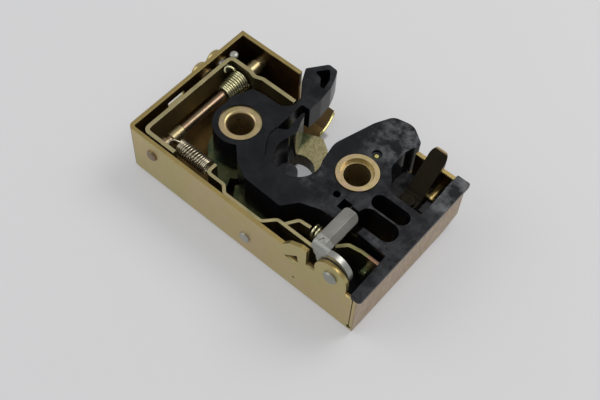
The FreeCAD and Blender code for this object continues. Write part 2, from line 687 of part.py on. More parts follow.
def make_claw():
    low = D.plate_level
    high = claw_top
    reach = float(D.claw_reach)
    notch_x = float(D.notch_x)
    notch_y = float(D.notch_y)
    notch = float(D.notch_radius)
    hook = slab([(0, 0, 0), (notch_x, notch_y, 0), (notch_x + notch * 0.98, notch_y + 1.6, 1.0),
                 (*polar(13.5, D.claw_tip), 1.2), (*polar(27.0, reach * 1.02), reach),
                 (*polar(40.0, reach), 2.4), (*polar(50.5, reach * 0.96), 2.2), (*polar(60.0, 22.0), 6.0),
                 (*polar(84.0, D.claw_disc), 4.0)], low, high)
    prong = slab([(0, 0, 0), (*polar(-47.0, D.claw_root), 3.0), (*polar(-23.0, D.prong_reach), 3.2),
                  (*polar(-8.5, D.prong_reach), 2.6), (notch_x, notch_y - notch, 0.5),
                  (notch_x, notch_y, 0)], low, high)
    tooth = slab([(0, 0, 0), (*polar(-150.0, D.claw_disc), 6.0), (*polar(-112.0, D.claw_disc * 1.12), 8.0),
                  (*polar(tooth_angle - 14.0, float(D.claw_tooth) * 0.995), 5.0),
                  (*polar(tooth_angle, D.claw_tooth), 0.7)], low, high)
    claw = cylinder(0, 0, low, high, D.claw_disc).fuse([hook, prong, tooth])
    claw = claw.fuse(cylinder(0, 0, low, high, D.claw_root).common(
        slab([(0, 0, 0), (*polar(tooth_angle, 30), 0), (*polar(-40.0, 30), 0)], low, high)))
    claw = claw.cut(cylinder(notch_x, notch_y, low - 1, high + 1, notch))
    claw = claw.cut(cylinder(0, 0, low - 1, high + 1, D.bush_radius + D.running_gap))
    add_shape("claw_plate", claw)


def make_claw_pad():
    """Moulded buffer in the notch, bulging towards the striker, keyed over the plate's faces."""
    low = D.plate_level - D.pad_proud
    high = claw_top + D.pad_proud
    x = float(D.pad_center_x)
    y = float(D.pad_center_y)
    radius = float(D.pad_radius)
    bulge = cylinder(x, y, low, high, radius)
    bulge = bulge.fuse(slab([(x - 9.4, y - 4.2, 1.5), (x, y - radius, 0.5), (x, y + radius, 0.5),
                             (x - 2.4, y + radius - 0.3, 2.0), (x - 4.6, y + radius + 1.3, 1.0),
                             (x - 8.0, y + radius + 1.0, 1.5)], low, high))
    inside = bulge.common(cylinder(D.notch_x, D.notch_y, low, high, D.notch_radius))
    cover = bulge.common(block(x - 12, x - 1, -20, 40, low, high))
    skins = []
    for a, b in ((low, D.plate_level), (claw_top, high)):
        skins.append(cover.common(block(0, 40, -20, 40, a, b)))
    add_shape("claw_pad", inside.fuse(skins))


# Pawl: hub on its bush, an arm bent round the throat, and the nose that stops the claw

def make_pawl():
    low = D.plate_level
    high = pawl_top
    x = float(D.pawl_x)
    y = float(D.pawl_y)
    arm = slab([(*polar(nose_angle, D.nose_inner), 0.7), (*polar(nose_angle, D.nose_outer), 1.5),
                (17.0, -18.0, 4.0), (30.5, -16.2, 6.0), (x - 2.6, y - 17.0, 5.0), (x + 3.0, y, 0),
                (x - 10.0, y - 5.0, 0), (x - 11.3, y - 14.8, 4.0), (25.4, -11.5, 4.0),
                (13.5, -11.7, 3.0)], low, high)
    tail_x = float(D.tail_x)
    tail_y = float(D.tail_y)
    tail = slab([(x, y, 0), (x - 1.0, y - 10.0, 1.0), (tail_x, tail_y - float(D.tail_radius), 3.0),
                 (tail_x + float(D.tail_radius), tail_y, 3.0), (x + 10.0, y + 1.0, 1.0)], low, high)
    pawl = cylinder(x, y, low, high, D.pawl_hub).fuse([arm, tail])
    pawl = pawl.fuse(cylinder(tail_x, tail_y, low, high, D.tail_radius))
    pawl = pawl.cut(cylinder(x, y, low - 1, high + 1, D.bush_radius + D.running_gap))
    pawl = pawl.cut(cylinder(tail_x, tail_y, low - 1, high + 1, D.pawl_pin_radius + D.seat_gap))
    add_shape("pawl_plate", pawl)


def make_pawl_pin():
    """Stud on the pawl's tail, which the levers push."""
    make_headed_pin("pawl_pin", D.tail_x, D.tail_y, D.plate_level, pawl_top + 1.4, D.pawl_pin_radius,
                    D.pawl_pin_radius + 0.7, 1.3)


# Moulded guide: one skin with skirts, bosses round both bushes, the hollow nose and the throat

def guide_outline():
    """Outer outline of the moulding, counterclockwise from the front of the claw's boss."""
    x_end = float(right_in) - 0.1
    y_low = float(front_in) + 0.1
    y_high = float(back_in) - 0.1
    x = float(D.pawl_x)
    y = float(D.pawl_y)
    face = float(D.nose_face)
    bulge = float(D.finger_bulge)
    slit_top = float(D.slit_back)
    return [(5.0, -7.6, 2), (10.5, -13.0, 2), (16.3, -15.9, 1), (32.0, -16.4, 1.5), (36.0, -11.2, 2.5),
            (x, y - 19.0, 2), (56.0, y - 17.9, 2), (x_end - D.corner_skirt, y - 18.6, 0.5),
            (x_end - D.corner_skirt, y_low, 0.3),
            (x_end, y_low, 0.5), (x_end, y_high, 0.5), (x_end - 2.4, y_high, 0.5),
            (x_end - 2.4, D.pit_front + 13.0, 1.5), (x_end - 0.8, D.pit_front + 9.0, 1.5),
            (x_end - 0.8, D.pit_front + 3.4, 1.0), (x_end - 2.4, D.pit_front, 1.0),
            (x + 12.2, D.pit_front, 2.0), (x + 10.1, y + 5.5, 3.0), (x + 6.8, y + 9.4, 3.0),
            (x + 6.7, y + 17.7, 3.0), (x + 8.9, y + 23.6, 1.6), (x + 2.2, y + 28.2, 5.0),
            (x - 5.2, y + 26.6, 4.0), (x - 8.6, y + 20.0, 14.0), (29.4, 14.6, 8.0), (30.8, 7.0, 1.5),
            (30.6, D.throat_center_y, 0), (18.0, D.throat_center_y, 0), (bulge - 0.9, 6.4, 1.5),
            (bulge, 9.2, 2.5), (bulge - 1.7, 13.2, 3.0), (bulge - 2.8, 16.4, 1.0),
            (face - 0.4, slit_top - 1.9, 0.3), (face, slit_top + 0.5, 0.2), (face + 0.1, 26.0, 6.0),
            (13.4, 32.4, 6.0), (12.1, 35.9, 4.0), (10.3, 39.6, 1.6), (6.3, 39.9, 1.6), (1.2, 32.9, 1.0),
            (4.2, 27.1, 5.0), (8.5, 22.4, 2.0), (8.7, 17.4, 1.8), (5.9, 14.5, 1.5), (-2.4, 14.3, 3.0),
            (-6.6, 13.3, 2.0), (-9.5, 6.5, 3.0), (-9.0, 0.0, 0.5), (0.0, 0.0, 0)]


def make_guide():
    low = D.guide_floor
    skin = guide_top - D.guide_skin
    top = guide_top
    x = float(D.pawl_x)
    y = float(D.pawl_y)
    throat = cylinder(D.throat_center_x, D.throat_center_y, 0, THROUGH, D.throat_half)
    wall = float(D.guide_wall)
    front_hollow = slab([(18.3, -13.9, 1), (32.0 - wall / 2, -16.4 + wall, 1), (34.6, -9.8, 2),
                         (34.6, -5.4, 1), (30.5, -8.0, 1), (14.0, -8.0, 1), (14.0, -12.0, 1)],
                        low - 1, skin)
    lobe_hollow = slab([(33.4, y + 9.8, 1.5), (x + 4.6, y + 9.8, 2), (x + 4.5, y + 17.9, 3),
                        (x + 6.4, y + 22.6, 1.0), (x + 2.0, y + 25.8, 3), (x - 4.0, y + 24.2, 2.5),
                        (x - 6.4, y + 19.6, 5)], low - 1, skin)
    hollow = front_hollow.fuse(lobe_hollow).cut(cylinder(x, y, low - 1, skin, D.guide_boss))
    guide = slab(guide_outline(), low, top).fuse(cylinder(0, 0, low, top, D.guide_boss)).cut(hollow)

    flange = slab([(right_in - D.corner_skirt - 0.1, front - D.flange_overhang, 0.6),
                   (right + D.flange_reach, front - D.flange_overhang, 1.6),
                   (right + D.flange_reach, back, 0.8), (float(right_in) - 2.5, back, 0.5)],
                  D.pan_height, D.pan_height + D.flange_height)
    flange = flange.cut(block(right_in - 9, right_in - 2.4, back - 12, back + 1, 0, THROUGH))
    foot = block(right_in - 1.5, right_in - 0.1, front_in + 6, D.pit_front - 1, D.pan_bend + 0.1, low)
    corner_shelf = block(right - 20.6, right_in - 0.1, front_in + 0.1, front_in + 15.5,
                         D.corner_shelf_low, D.corner_shelf_high)
    pit_shelf = block(x + 6.2, right_in - 0.1, D.pit_front - 1.6, back_in - 0.1, low, D.pit_shelf)
    stop_block = block(stop_x, right_in - 0.1, D.pit_front + 5, D.pit_front + 10.2, low,
                       D.handle_level - 0.5)
    rough_mark = cylinder(x + 5.7, y + 20.5, top - 1, top + float(D.mark_rise), D.mark_radius)
    guide = guide.fuse([flange, foot, corner_shelf, pit_shelf, stop_block, rough_mark])

    slot_right = right_in - D.slot_right_inset
    cuts = [obround(D.slot_left, slot_right, D.slot_one_y, D.slot_one_half, low - 1, THROUGH),
            obround(D.slot_left, slot_right + 0.6, D.slot_two_y, D.slot_two_half, low - 1, THROUGH),
            block(D.window_left, D.window_right, y - 24, D.window_back, low - 1, THROUGH),
            slab([(D.slit_left, D.slit_front, 0.5), (D.slit_left + 3.6, D.slit_front + 2.3, 0.8),
                  (D.slit_left + D.slit_width, D.slit_front + 6.6, 3.0),
                  (D.slit_left + D.slit_width, D.slit_back - 2.5, 0.3), (D.nose_face, D.slit_back - 1.9, 0),
                  (D.nose_face + 2, D.slit_back - 1.9, 0), (D.nose_face + 2, D.slit_back + 0.3, 0),
                  (D.slit_left, D.slit_back, 0.6)], 0, THROUGH),
            bent_strip([(D.slit_left, D.slit_front + 0.4, 0), (D.slit_left, D.slit_front - 3.5, 1.0),
                        (D.slit_left + 1.7, D.slit_front - 6.7, 2.0),
                        (D.slit_left + 4.4, D.slit_front - 10.6, 0)],
                       D.groove_width, top - D.groove_depth, THROUGH),
            block(-1, D.nose_face + 1, D.slit_back - 1.4, back + 9, 0, D.nose_floor),
            cylinder(handle_x, D.handle_y, 0, THROUGH, D.handle_pin_radius + D.seat_gap),
            cylinder(x + 0.1, y - 10.9, skin - 1, THROUGH, 1.3),
            block(x + 3.0, x + 6.6, y - 14.6, y - 10.6, skin - 1, THROUGH),
            cylinder(D.anchor_x, D.anchor_y, low - 1, THROUGH, D.anchor_radius + D.seat_gap),
            cylinder(D.anchor_x, D.anchor_y, top - 1.2, THROUGH, D.anchor_radius + 0.75)]
    pocket = slab([(4.6, 34.1, 0.5), (7.9, 33.1, 0.8), (10.3, 29.9, 0.3), (11.9, 30.1, 0.3),
                   (10.9, 34.5, 1.2), (8.0, 38.4, 0.7)], top - D.pocket_depth, THROUGH)
    cuts.append(pocket)
    for bx, by, flange_top, flange_radius in ((0, 0, claw_bush_top, D.claw_flange),
                                              (x, y, pawl_bush_top, D.pawl_flange)):
        seat = flange_top - D.flange_thick
        cuts.append(cylinder(bx, by, low - 1, skin - 1, D.spring_pocket))
        cuts.append(cylinder(bx, by, low - 1, THROUGH, D.bush_radius + D.seat_gap))
        cuts.append(cylinder(bx, by, seat, THROUGH, flange_radius + D.seat_gap))
    guide = guide.cut(cuts + [throat])
    add_shape("guide_moulding", guide)


# Release bracket: a U of sheet round the shaft, its ears carried by the shaft

def make_release_bracket():
    half = float(D.bracket_sheet) / 2
    web = -float(D.bracket_web)
    y_front = float(front_in) + float(D.bracket_front) + half
    y_back = float(D.bracket_ear_y)
    dip = float(D.bracket_dip)
    shaft = float(D.shaft_x)
    path = [(-float(D.bracket_front_arm), y_front, 0), (web, y_front, 1.2), (web, y_back, 1.2),
            (shaft + 3.0, y_back, 1.0), (shaft + 6.0, y_back - dip, 1.0), (shaft + 9.0, y_back + 0.2, 1.0),
            (D.bracket_back_arm, y_back + 0.2, 0)]
    bracket = bent_strip(path, D.bracket_sheet, D.bracket_low, D.bracket_high)
    arm_cut = block(shaft + 5.0, 40, y_back - 3, y_back + 5, 0, D.bracket_arm_low)
    window = block(web - 3, web + 3, y_front + 11, y_back - 9, 0, D.bracket_low + 4)
    bore = cylinder_y(shaft, D.shaft_z, front, back, D.shaft_radius + D.running_gap)
    pin_hole = Part.makeCylinder(float(D.cable_pin_radius) + 0.03, 10,
                                 V(web - 5, float(D.cable_pin_y), float(D.cable_pin_z)), V(1, 0, 0))
    bracket = bracket.cut([arm_cut, window, bore, pin_hole])
    add_shape("release_bracket", bracket)

    pin = new_body("cable_pin")
    sheet_thick = D.bracket_sheet
    profile = [(0, -1.6), (D.cable_pin_head - 0.5, -1.6), (D.cable_pin_head, -1.1), (D.cable_pin_head, 0),
               (D.cable_pin_radius, 0), (D.cable_pin_radius, sheet_thick + 0.8), (0, sheet_thick + 0.8)]
    revolve(pin, "profile", profile)
    place(pin, -D.bracket_web - D.bracket_sheet / 2, D.cable_pin_y, D.cable_pin_z, ALONG_X)


# Lock lever: a plate on the ear's rivet with its top bent over into a finger paddle

def lever_faces():
    inner = front_in + D.clear_gap
    return inner, inner + D.lever_sheet


def make_lock_lever():
    y_low, y_high = lever_faces()
    x = float(lock_x)
    z = float(lock_z)
    top = float(paddle_top)
    width = float(D.paddle_width)
    paddle_left = x - float(D.ear_half) - 3.4
    paddle_right = paddle_left + width
    bend = float(D.paddle_bend)
    disc = cylinder_y(x - 0.7, z + 2.1, y_low, y_high, D.lever_disc)
    upright = slab_xz([(paddle_left + 2.8, z - 0.1, 0.8), (x, z, 0), (x, z + 6.0, 1.0),
                       (paddle_right, top, 0.5), (paddle_left, top, 0.3), (paddle_left + 1.4, z + 3.4, 0.3),
                       (paddle_left + 2.2, z + 2.8, 0.3)], y_low, y_high)
    foot = z - float(D.lock_arm) - 2.4
    finger = slab_xz([(x - 2.6, foot, 2.2), (x + 2.6, foot, 2.2), (x + 4.0, z, 0), (x - 4.0, z, 0)],
                     y_low, y_high)
    end = y_low + float(D.paddle_length)
    paddle = slab([(paddle_left, y_low, 0), (paddle_right, y_low, 0), (paddle_right, end, 1.8),
                   (paddle_left, end, 1.4)], top - float(D.paddle_thick), top)
    lever = disc.fuse([upright, finger, paddle])
    outside = block(paddle_left - 1, paddle_right + 0.3, y_low - 1, y_low + bend, top - bend, top + 1)
    axis = V(paddle_left - 2, y_low + bend, top - bend)
    outside = outside.cut(Part.makeCylinder(bend, width + 4, axis, V(1, 0, 0)))
    slope = slab_xz([(paddle_right - 2.0, top, 0), (paddle_right + 1, top - 2.7, 0),
                     (paddle_right + 1, top + 1, 0), (paddle_right - 2.0, top + 1, 0)], y_high, end + 1)
    coin = slab([(paddle_left + 1.2, y_low + 1.9, 0.2), (paddle_left + 3.2, y_low + 2.2, 0.2),
                 (paddle_left + 2.0, y_low + 4.2, 0.2)], top - 0.4, THROUGH)
    lever = lever.cut([outside, slope, coin])
    lever = lever.cut(cylinder_y(x, z, front, back, D.lock_rivet_radius + D.running_gap))
    lever = lever.cut(cylinder_y(x, z - float(D.lock_arm), front, back, D.lock_pin_radius + 0.03))
    add_shape("lock_lever", lever)


def make_lock_pin():
    """Stud on the lock lever's lower finger, which works in the link's slot."""
    y_low, y_high = lever_faces()
    pin = new_body("lock_pin")
    link_back = front_in + D.link_wall_gap + D.link_sheet + D.link_step
    length = link_back - y_low + 0.6
    profile = [(0, 0), (D.lock_pin_radius, 0), (D.lock_pin_radius, length), (0, length)]
    revolve(pin, "profile", profile)
    place(pin, lock_x, y_low, lock_z - D.lock_arm, ALONG_Y)


def make_link():
    """Sliding link along the front wall, bulged where the spring hooks on, with a fork tab."""
    half = float(D.link_sheet) / 2
    wall = float(front_in) + float(D.link_wall_gap) + half
    inner = wall + float(D.link_step)
    x = float(lock_x)
    ear = float(D.link_left) + half
    main = bent_strip([(ear, wall + float(D.link_ear_reach), 0), (ear, wall + 2.4, 1.0),
                       (11.4, wall + 2.4, 1.0), (13.8, wall, 1.0), (30.0, wall, 1.5), (33.6, inner, 1.5),
                       (x - 11.0, inner, 0)], D.link_sheet, D.link_low, D.link_high)
    tail = bent_strip([(x - 12.0, inner, 0), (x + 3.2, inner, 0)], D.link_sheet, D.link_low + 1.2, 19.0)
    bend = float(D.link_tab_reach)
    tab = bent_strip([(35.4, inner - 0.2, 0), (38.6, inner + bend - 0.4, 1.0),
                      (D.link_tab_end, inner + bend, 0)], D.link_sheet, D.link_low + 3, D.link_high - 1)
    link = main.fuse([tail, tab])
    pin_z = float(lock_z) - float(D.lock_arm)
    gap = float(D.lock_pin_radius) + 0.15
    slot = slab_xz([(x - gap, pin_z - gap, gap), (x + gap, pin_z - gap, gap),
                    (x + gap, pin_z + gap + 0.8, gap), (x - gap, pin_z + gap + 0.8, gap)],
                   inner - 3, inner + 3)
    link = link.cut(slot)
    add_shape("link_plate", link)


# Right corner: standing strip with the pin it carries

def make_corner():
    strip_y = D.corner_y
    strip = bent_strip([(right - 18.1, strip_y - 4.1, 0), (right - 15.2, strip_y - 0.9, 1.0),
                        (right - 10.5, strip_y, 4.0), (right - D.corner_inset, strip_y, 0)],
                       D.corner_sheet, D.corner_shelf_high, D.corner_high)
    hole = cylinder_y(corner_pin_x, D.corner_pin_z, front, back, D.corner_pin_radius - 0.6)
    add_shape("corner_strip", strip.cut(hole))
    pin = new_body("corner_pin")
    radius = D.corner_pin_radius
    neck = radius - 0.6 - D.seat_gap
    length = D.corner_pin_length - 2.4
    profile = [(0, 0), (radius - 0.6, 0), (radius, 0.6), (radius, length), (neck, length),
               (neck, length + D.corner_sheet + 1.0), (0, length + D.corner_sheet + 1.0)]
    revolve(pin, "profile", profile)
    place(pin, corner_pin_x, strip_y - D.corner_sheet / 2 - length, D.corner_pin_z, ALONG_Y)


# Inside lever: a strap on its own upright pin, bent up over the back wall

def make_inside_lever():
    x = float(handle_x)
    y = float(D.handle_y)
    half = float(D.handle_width) / 2
    level = float(D.handle_level) + float(D.handle_sheet) / 2
    profile = [(y - half - 1, level, 0), (y + 3.4, level, 2.5), (D.handle_tip_y, D.handle_tip_z, 0)]
    strap = bent_strip(profile, D.handle_sheet, x - half, x + half)
    strap = strap.copy()
    strap.rotate(V(0, 0, 0), V(1, 1, 1), 120)
    tip = float(D.handle_tip_y) - 0.2
    trim = slab([(x - half, y - half, half), (x + half, y - half, half), (x + half, tip, half * 0.9),
                 (x - half, tip, half * 0.9)], 0, THROUGH)
    strap = strap.common(trim)
    strap = strap.cut(cylinder(x, y, 0, THROUGH, D.handle_pin_radius + D.running_gap))
    add_shape("inside_lever", strap)


# Springs

def make_springs():
    span = float(D.return_span)
    pitch = span / float(D.return_turns)
    cone = coil(D.return_front_radius, D.return_wire, D.return_turns, pitch, D.return_back_radius)
    cone.rotate(V(0, 0, 0), V(1, 0, 0), -90)
    ear_face = float(D.bracket_ear_y - D.bracket_sheet / 2)
    start = ear_face - span - float(D.return_wire) / 2 - 0.25
    cone.translate(V(float(D.shaft_x), start, float(D.shaft_z)))
    add_shape("return_spring", cone)

    for label, x, y in (("claw_spring", 0, 0), ("pawl_spring", D.pawl_x, D.pawl_y)):
        wire = float(D.bush_spring_wire)
        radius = float(D.bush_radius) + 0.35 + wire / 2
        turns = float(D.bush_spring_turns)
        spring = coil(radius, wire, turns, wire * 1.5)
        spring.translate(V(float(x), float(y), float(D.guide_floor) + wire / 2 + 0.4))
        add_shape(label, spring)

    wire = float(D.pull_wire)
    y = float(D.pull_y)
    z = float(D.pull_z)
    start = float(D.pull_x)
    pitch = wire * 1.36
    end = start + pitch * float(D.pull_turns)
    pull = coil(D.pull_radius, wire, D.pull_turns, pitch)
    pull.rotate(V(0, 0, 0), V(0, 1, 0), 90)
    pull.translate(V(start, y, z))
    arm_face = float(front_in + D.bracket_front + D.bracket_sheet + D.clear_gap)
    low = z - float(D.pull_radius)
    tail = cylinder_y(start, low, arm_face, y, wire / 2)
    hook = Part.makeCylinder(wire / 2, float(D.link_left - D.clear_gap) - end, V(end, y, low), V(1, 0, 0))
    add_shape("pull_spring", pull.fuse([tail, hook]))

    wire = float(D.lock_wire)
    lock = coil(D.lock_spring_radius, wire, D.lock_spring_turns, wire * 1.6)
    lock.rotate(V(0, 0, 0), V(0, 1, 0), 90)
    tab_y = front_in + D.link_wall_gap + D.link_sheet / 2 + D.link_step + D.link_tab_reach
    lock.translate(V(float(D.link_tab_end + D.clear_gap) + wire / 2, float(tab_y) + 1.0,
                     float(D.lock_spring_z)))
    add_shape("lock_spring", lock)


make_pan()
make_claw_bush()
make_pawl_bush()
make_release_shaft()
make_shaft_sleeve()
make_wall_rivet()
make_lock_rivet()
make_side_rivets()
make_claw()
make_claw_pad()
make_pawl()
make_pawl_pin()
make_guide()
make_release_bracket()
make_lock_lever()
make_lock_pin()
make_link()
make_corner()
make_inside_lever()
make_headed_pin("inside_lever_pin", handle_x, D.handle_y, D.pan_sheet,
                D.handle_level + D.handle_sheet + D.clear_gap + 0.8, D.handle_pin_radius,
                D.handle_pin_head, 0.8)
make_stop_pin()
make_anchor_pin()
make_springs()
doc.recompute()

for item in doc.Objects:
    if "Invalid" in item.State or "Error" in item.State:
        raise RuntimeError(f"{item.Name} failed: {item.State}")
os.makedirs("parts", exist_ok=True)
for label, item in nodes.items():
    shape = item.Shape
    if shape.isNull() or not shape.isValid():
        raise RuntimeError(f"{label} has no valid shape")
    shape.exportStep(f"parts/{label}.step")
    print(label, len(shape.Solids), round(shape.Volume, 1))
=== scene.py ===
# %% [markdown]
# # A rotary claw door latch with its cover off
# The latch lies on a pale table, seen from above and from its front wall. The solids come packed
# and in place, in metres, so this lesson only dresses them: light, floor, camera, finishes, and
# the small things that a solid model leaves out, such as round spring wire, a turned collar and a
# rolled edge.

# %% Load the latch
import math

import bpy
from mathutils import Euler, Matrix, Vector


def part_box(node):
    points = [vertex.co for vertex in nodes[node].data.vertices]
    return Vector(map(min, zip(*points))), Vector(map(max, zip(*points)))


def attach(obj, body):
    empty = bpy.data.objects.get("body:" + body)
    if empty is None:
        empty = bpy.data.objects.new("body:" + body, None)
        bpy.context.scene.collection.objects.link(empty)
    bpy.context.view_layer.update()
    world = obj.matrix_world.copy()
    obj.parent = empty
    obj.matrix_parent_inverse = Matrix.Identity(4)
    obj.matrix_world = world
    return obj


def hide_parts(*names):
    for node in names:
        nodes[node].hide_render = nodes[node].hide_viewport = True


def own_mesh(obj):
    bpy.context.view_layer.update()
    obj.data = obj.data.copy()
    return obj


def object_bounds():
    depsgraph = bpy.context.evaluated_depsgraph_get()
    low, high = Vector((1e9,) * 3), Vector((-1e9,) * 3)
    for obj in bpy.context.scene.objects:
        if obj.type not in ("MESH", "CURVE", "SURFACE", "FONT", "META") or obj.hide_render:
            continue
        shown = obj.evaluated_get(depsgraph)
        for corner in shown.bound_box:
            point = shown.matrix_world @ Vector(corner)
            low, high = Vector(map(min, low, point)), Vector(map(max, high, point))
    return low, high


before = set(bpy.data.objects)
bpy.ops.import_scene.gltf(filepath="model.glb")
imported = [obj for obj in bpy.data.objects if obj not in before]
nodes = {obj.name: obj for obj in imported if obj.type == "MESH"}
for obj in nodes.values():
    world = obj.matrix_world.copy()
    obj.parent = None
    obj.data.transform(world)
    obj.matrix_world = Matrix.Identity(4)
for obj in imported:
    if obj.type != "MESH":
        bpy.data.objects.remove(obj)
cad_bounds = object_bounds()
scene = bpy.context.scene
MM = 0.001

# %% [markdown]
# The camera was fitted to the corners of the pan in the photograph: a short telephoto, about a
# third of a metre away, that looks down steeply over the right end of the front wall and leans a
# little. A rotation in plain X, Y, Z angles says that as well as a target would, and keeps the
# lean.

# %% Camera
CAMERA_PLACE = (142.41, -152.06, 302.18)
CAMERA_TURN = (32.525, -2.209, 40.499)
CAMERA_LENS = 61.13

camera_data = bpy.data.cameras.new("table_camera")
camera_data.lens = CAMERA_LENS
camera_data.sensor_width = 36.0
camera_data.clip_start = 10 * MM
camera_data.clip_end = 20.0
camera = bpy.data.objects.new("table_camera", camera_data)
camera.location = Vector(CAMERA_PLACE) * MM
camera.rotation_euler = Euler([math.radians(turn) for turn in CAMERA_TURN], "XYZ")
scene.collection.objects.link(camera)
scene.camera = camera
print("camera at", [round(value, 4) for value in camera.location], "lens", CAMERA_LENS)

# %% [markdown]
# The table is matt and nearly white. The light in the photograph comes from a large bright window
# behind the latch and from the room, so the shadows are wide and soft. Two broad area lamps and a
# pale world do the same. The colours stay as written, because the view transform is the plain one.

# %% Lamps and world
scene.view_settings.view_transform = "Standard"


def socket(shader, name, value):
    """Set one of a shader's own sockets."""
    shader.inputs[name].default_value = value


def new_material(name):
    """An empty node material: gives the material, its tree and its Principled shader."""
    material = bpy.data.materials.new(name)
    material.use_nodes = True
    tree = material.node_tree
    return material, tree, tree.nodes["Principled BSDF"]


def add_lamp(name, place, target, size, watts, colour):
    """A square soft lamp that looks at a point of the latch."""
    data = bpy.data.lights.new(name, "AREA")
    data.size = size
    data.energy = watts
    data.color = colour
    lamp = bpy.data.objects.new(name, data)
    lamp.location = Vector(place)
    lamp.rotation_euler = (Vector(target) - Vector(place)).to_track_quat("-Z", "Y").to_euler()
    scene.collection.objects.link(lamp)


LATCH_MIDDLE = (0.022, 0.003, 0.012)
WINDOW_LAMP = {"place": (0.28, 0.62, 0.85), "size": 0.6, "watts": 5.6,
               "colour": (1.0, 0.985, 0.96)}
ROOM_LAMP = {"place": (-0.75, -0.55, 0.75), "size": 0.9, "watts": 4.2,
             "colour": (0.97, 0.98, 1.0)}
ROOM_COLOUR = (0.93, 0.94, 0.96, 1.0)
ROOM_STRENGTH = 0.56

add_lamp("window_lamp", target=LATCH_MIDDLE, **WINDOW_LAMP)
add_lamp("room_lamp", target=LATCH_MIDDLE, **ROOM_LAMP)
world = bpy.data.worlds.new("pale_room")
world.use_nodes = True
background = world.node_tree.nodes["Background"]
background.inputs["Color"].default_value = ROOM_COLOUR
background.inputs["Strength"].default_value = ROOM_STRENGTH
scene.world = world

# %% [markdown]
# Every finish starts from the same few tools: a noise read in the latch's own coordinates, a
# colour ramp over it, masks that fade in along one direction or fill a box, and a bump. Object
# coordinates are metres here, so the scales below are per metre, and the grain stays put when a
# lever moves.

# %% Node helpers
BEVEL_SAMPLES = 4
NOISE_LOW = 0.3
NOISE_HIGH = 0.7


def coordinates(tree):
    """The latch's own coordinates, made once in a tree."""
    found = tree.nodes.get("latch_coordinates")
    if found is None:
        found = tree.nodes.new("ShaderNodeTexCoord")
        found.name = "latch_coordinates"
    return found.outputs["Object"]


def noise(tree, scale, detail=4.0, rough=0.55, stretch=(1, 1, 1)):
    """Noise value at this scale, drawn out along an axis if asked."""
    mapping = tree.nodes.new("ShaderNodeMapping")
    mapping.inputs["Scale"].default_value = stretch
    tree.links.new(coordinates(tree), mapping.inputs["Vector"])
    texture = tree.nodes.new("ShaderNodeTexNoise")
    texture.inputs["Scale"].default_value = scale
    texture.inputs["Detail"].default_value = detail
    texture.inputs["Roughness"].default_value = rough
    tree.links.new(mapping.outputs["Vector"], texture.inputs["Vector"])
    return texture.outputs["Fac"]


def ramp(tree, value, stops):
    """Colour ramp over a value: stops are (place, colour)."""
    node = tree.nodes.new("ShaderNodeValToRGB")
    elements = node.color_ramp.elements
    while len(elements) < len(stops):
        elements.new(0.5)
    for element, (place, colour) in zip(elements, stops):
        element.position = place
        element.color = (*colour, 1.0)
    tree.links.new(value, node.inputs["Fac"])
    return node.outputs["Color"]


def spread(tree, value, low, high, to_low, to_high):
    """Map a value from one range to another, held at the ends."""
    node = tree.nodes.new("ShaderNodeMapRange")
    node.inputs["From Min"].default_value = low
    node.inputs["From Max"].default_value = high
    node.inputs["To Min"].default_value = to_low
    node.inputs["To Max"].default_value = to_high
    tree.links.new(value, node.inputs["Value"])
    return node.outputs["Result"]


def along(tree, axis):
    """Distance along X, Y or Z of the latch."""
    split = tree.nodes.new("ShaderNodeSeparateXYZ")
    tree.links.new(coordinates(tree), split.inputs["Vector"])
    return split.outputs[axis]


def facing(tree, axis):
    """How far the surface faces along X, Y or Z of the latch, from -1 to 1."""
    surface = tree.nodes.new("ShaderNodeTexCoord")
    split = tree.nodes.new("ShaderNodeSeparateXYZ")
    tree.links.new(surface.outputs["Normal"], split.inputs["Vector"])
    return split.outputs[axis]


def upward_faces(tree, start, full, least=0.0):
    """Mask of the faces that look up: least below start, and 1 from full on."""
    return spread(tree, facing(tree, "Z"), start, full, least, 1.0)


def uneven(tree, value, low, high):
    """A noise value spread from low to high, for a broken gloss."""
    return spread(tree, value, NOISE_LOW, NOISE_HIGH, low, high)


def combine(tree, kind, one, two):
    """One arithmetic step between two values, or a value and a number."""
    node = tree.nodes.new("ShaderNodeMath")
    node.operation = kind
    for index, item in enumerate((one, two)):
        if isinstance(item, (int, float)):
            node.inputs[index].default_value = item
        else:
            tree.links.new(item, node.inputs[index])
    return node.outputs[0]


def blend(tree, amount, under, over, kind="MIX"):
    """Mix two colours, each a socket or a plain colour."""
    node = tree.nodes.new("ShaderNodeMix")
    node.data_type = "RGBA"
    node.blend_type = kind
    for name, item in (("Factor", amount), ("A", under), ("B", over)):
        target = [entry for entry in node.inputs if entry.name == name and entry.enabled][0]
        if isinstance(item, (int, float)):
            target.default_value = item
        elif isinstance(item, tuple):
            target.default_value = (*item, 1.0)
        else:
            tree.links.new(item, target)
    return [entry for entry in node.outputs if entry.enabled][0]


def shade(tree, shader, colour, rough, bumps, edge):
    """Plug colour, roughness, a soft edge and bumps (value, height, strength) into the shader."""
    tree.links.new(colour, shader.inputs["Base Color"])
    tree.links.new(rough, shader.inputs["Roughness"])
    bevel = tree.nodes.new("ShaderNodeBevel")
    bevel.samples = BEVEL_SAMPLES
    bevel.inputs["Radius"].default_value = edge
    normal = bevel.outputs["Normal"]
    for value, height, strength in bumps:
        bump = tree.nodes.new("ShaderNodeBump")
        bump.inputs["Distance"].default_value = height
        bump.inputs["Strength"].default_value = strength
        tree.links.new(value, bump.inputs["Height"])
        tree.links.new(normal, bump.inputs["Normal"])
        normal = bump.outputs["Normal"]
    tree.links.new(normal, shader.inputs["Normal"])


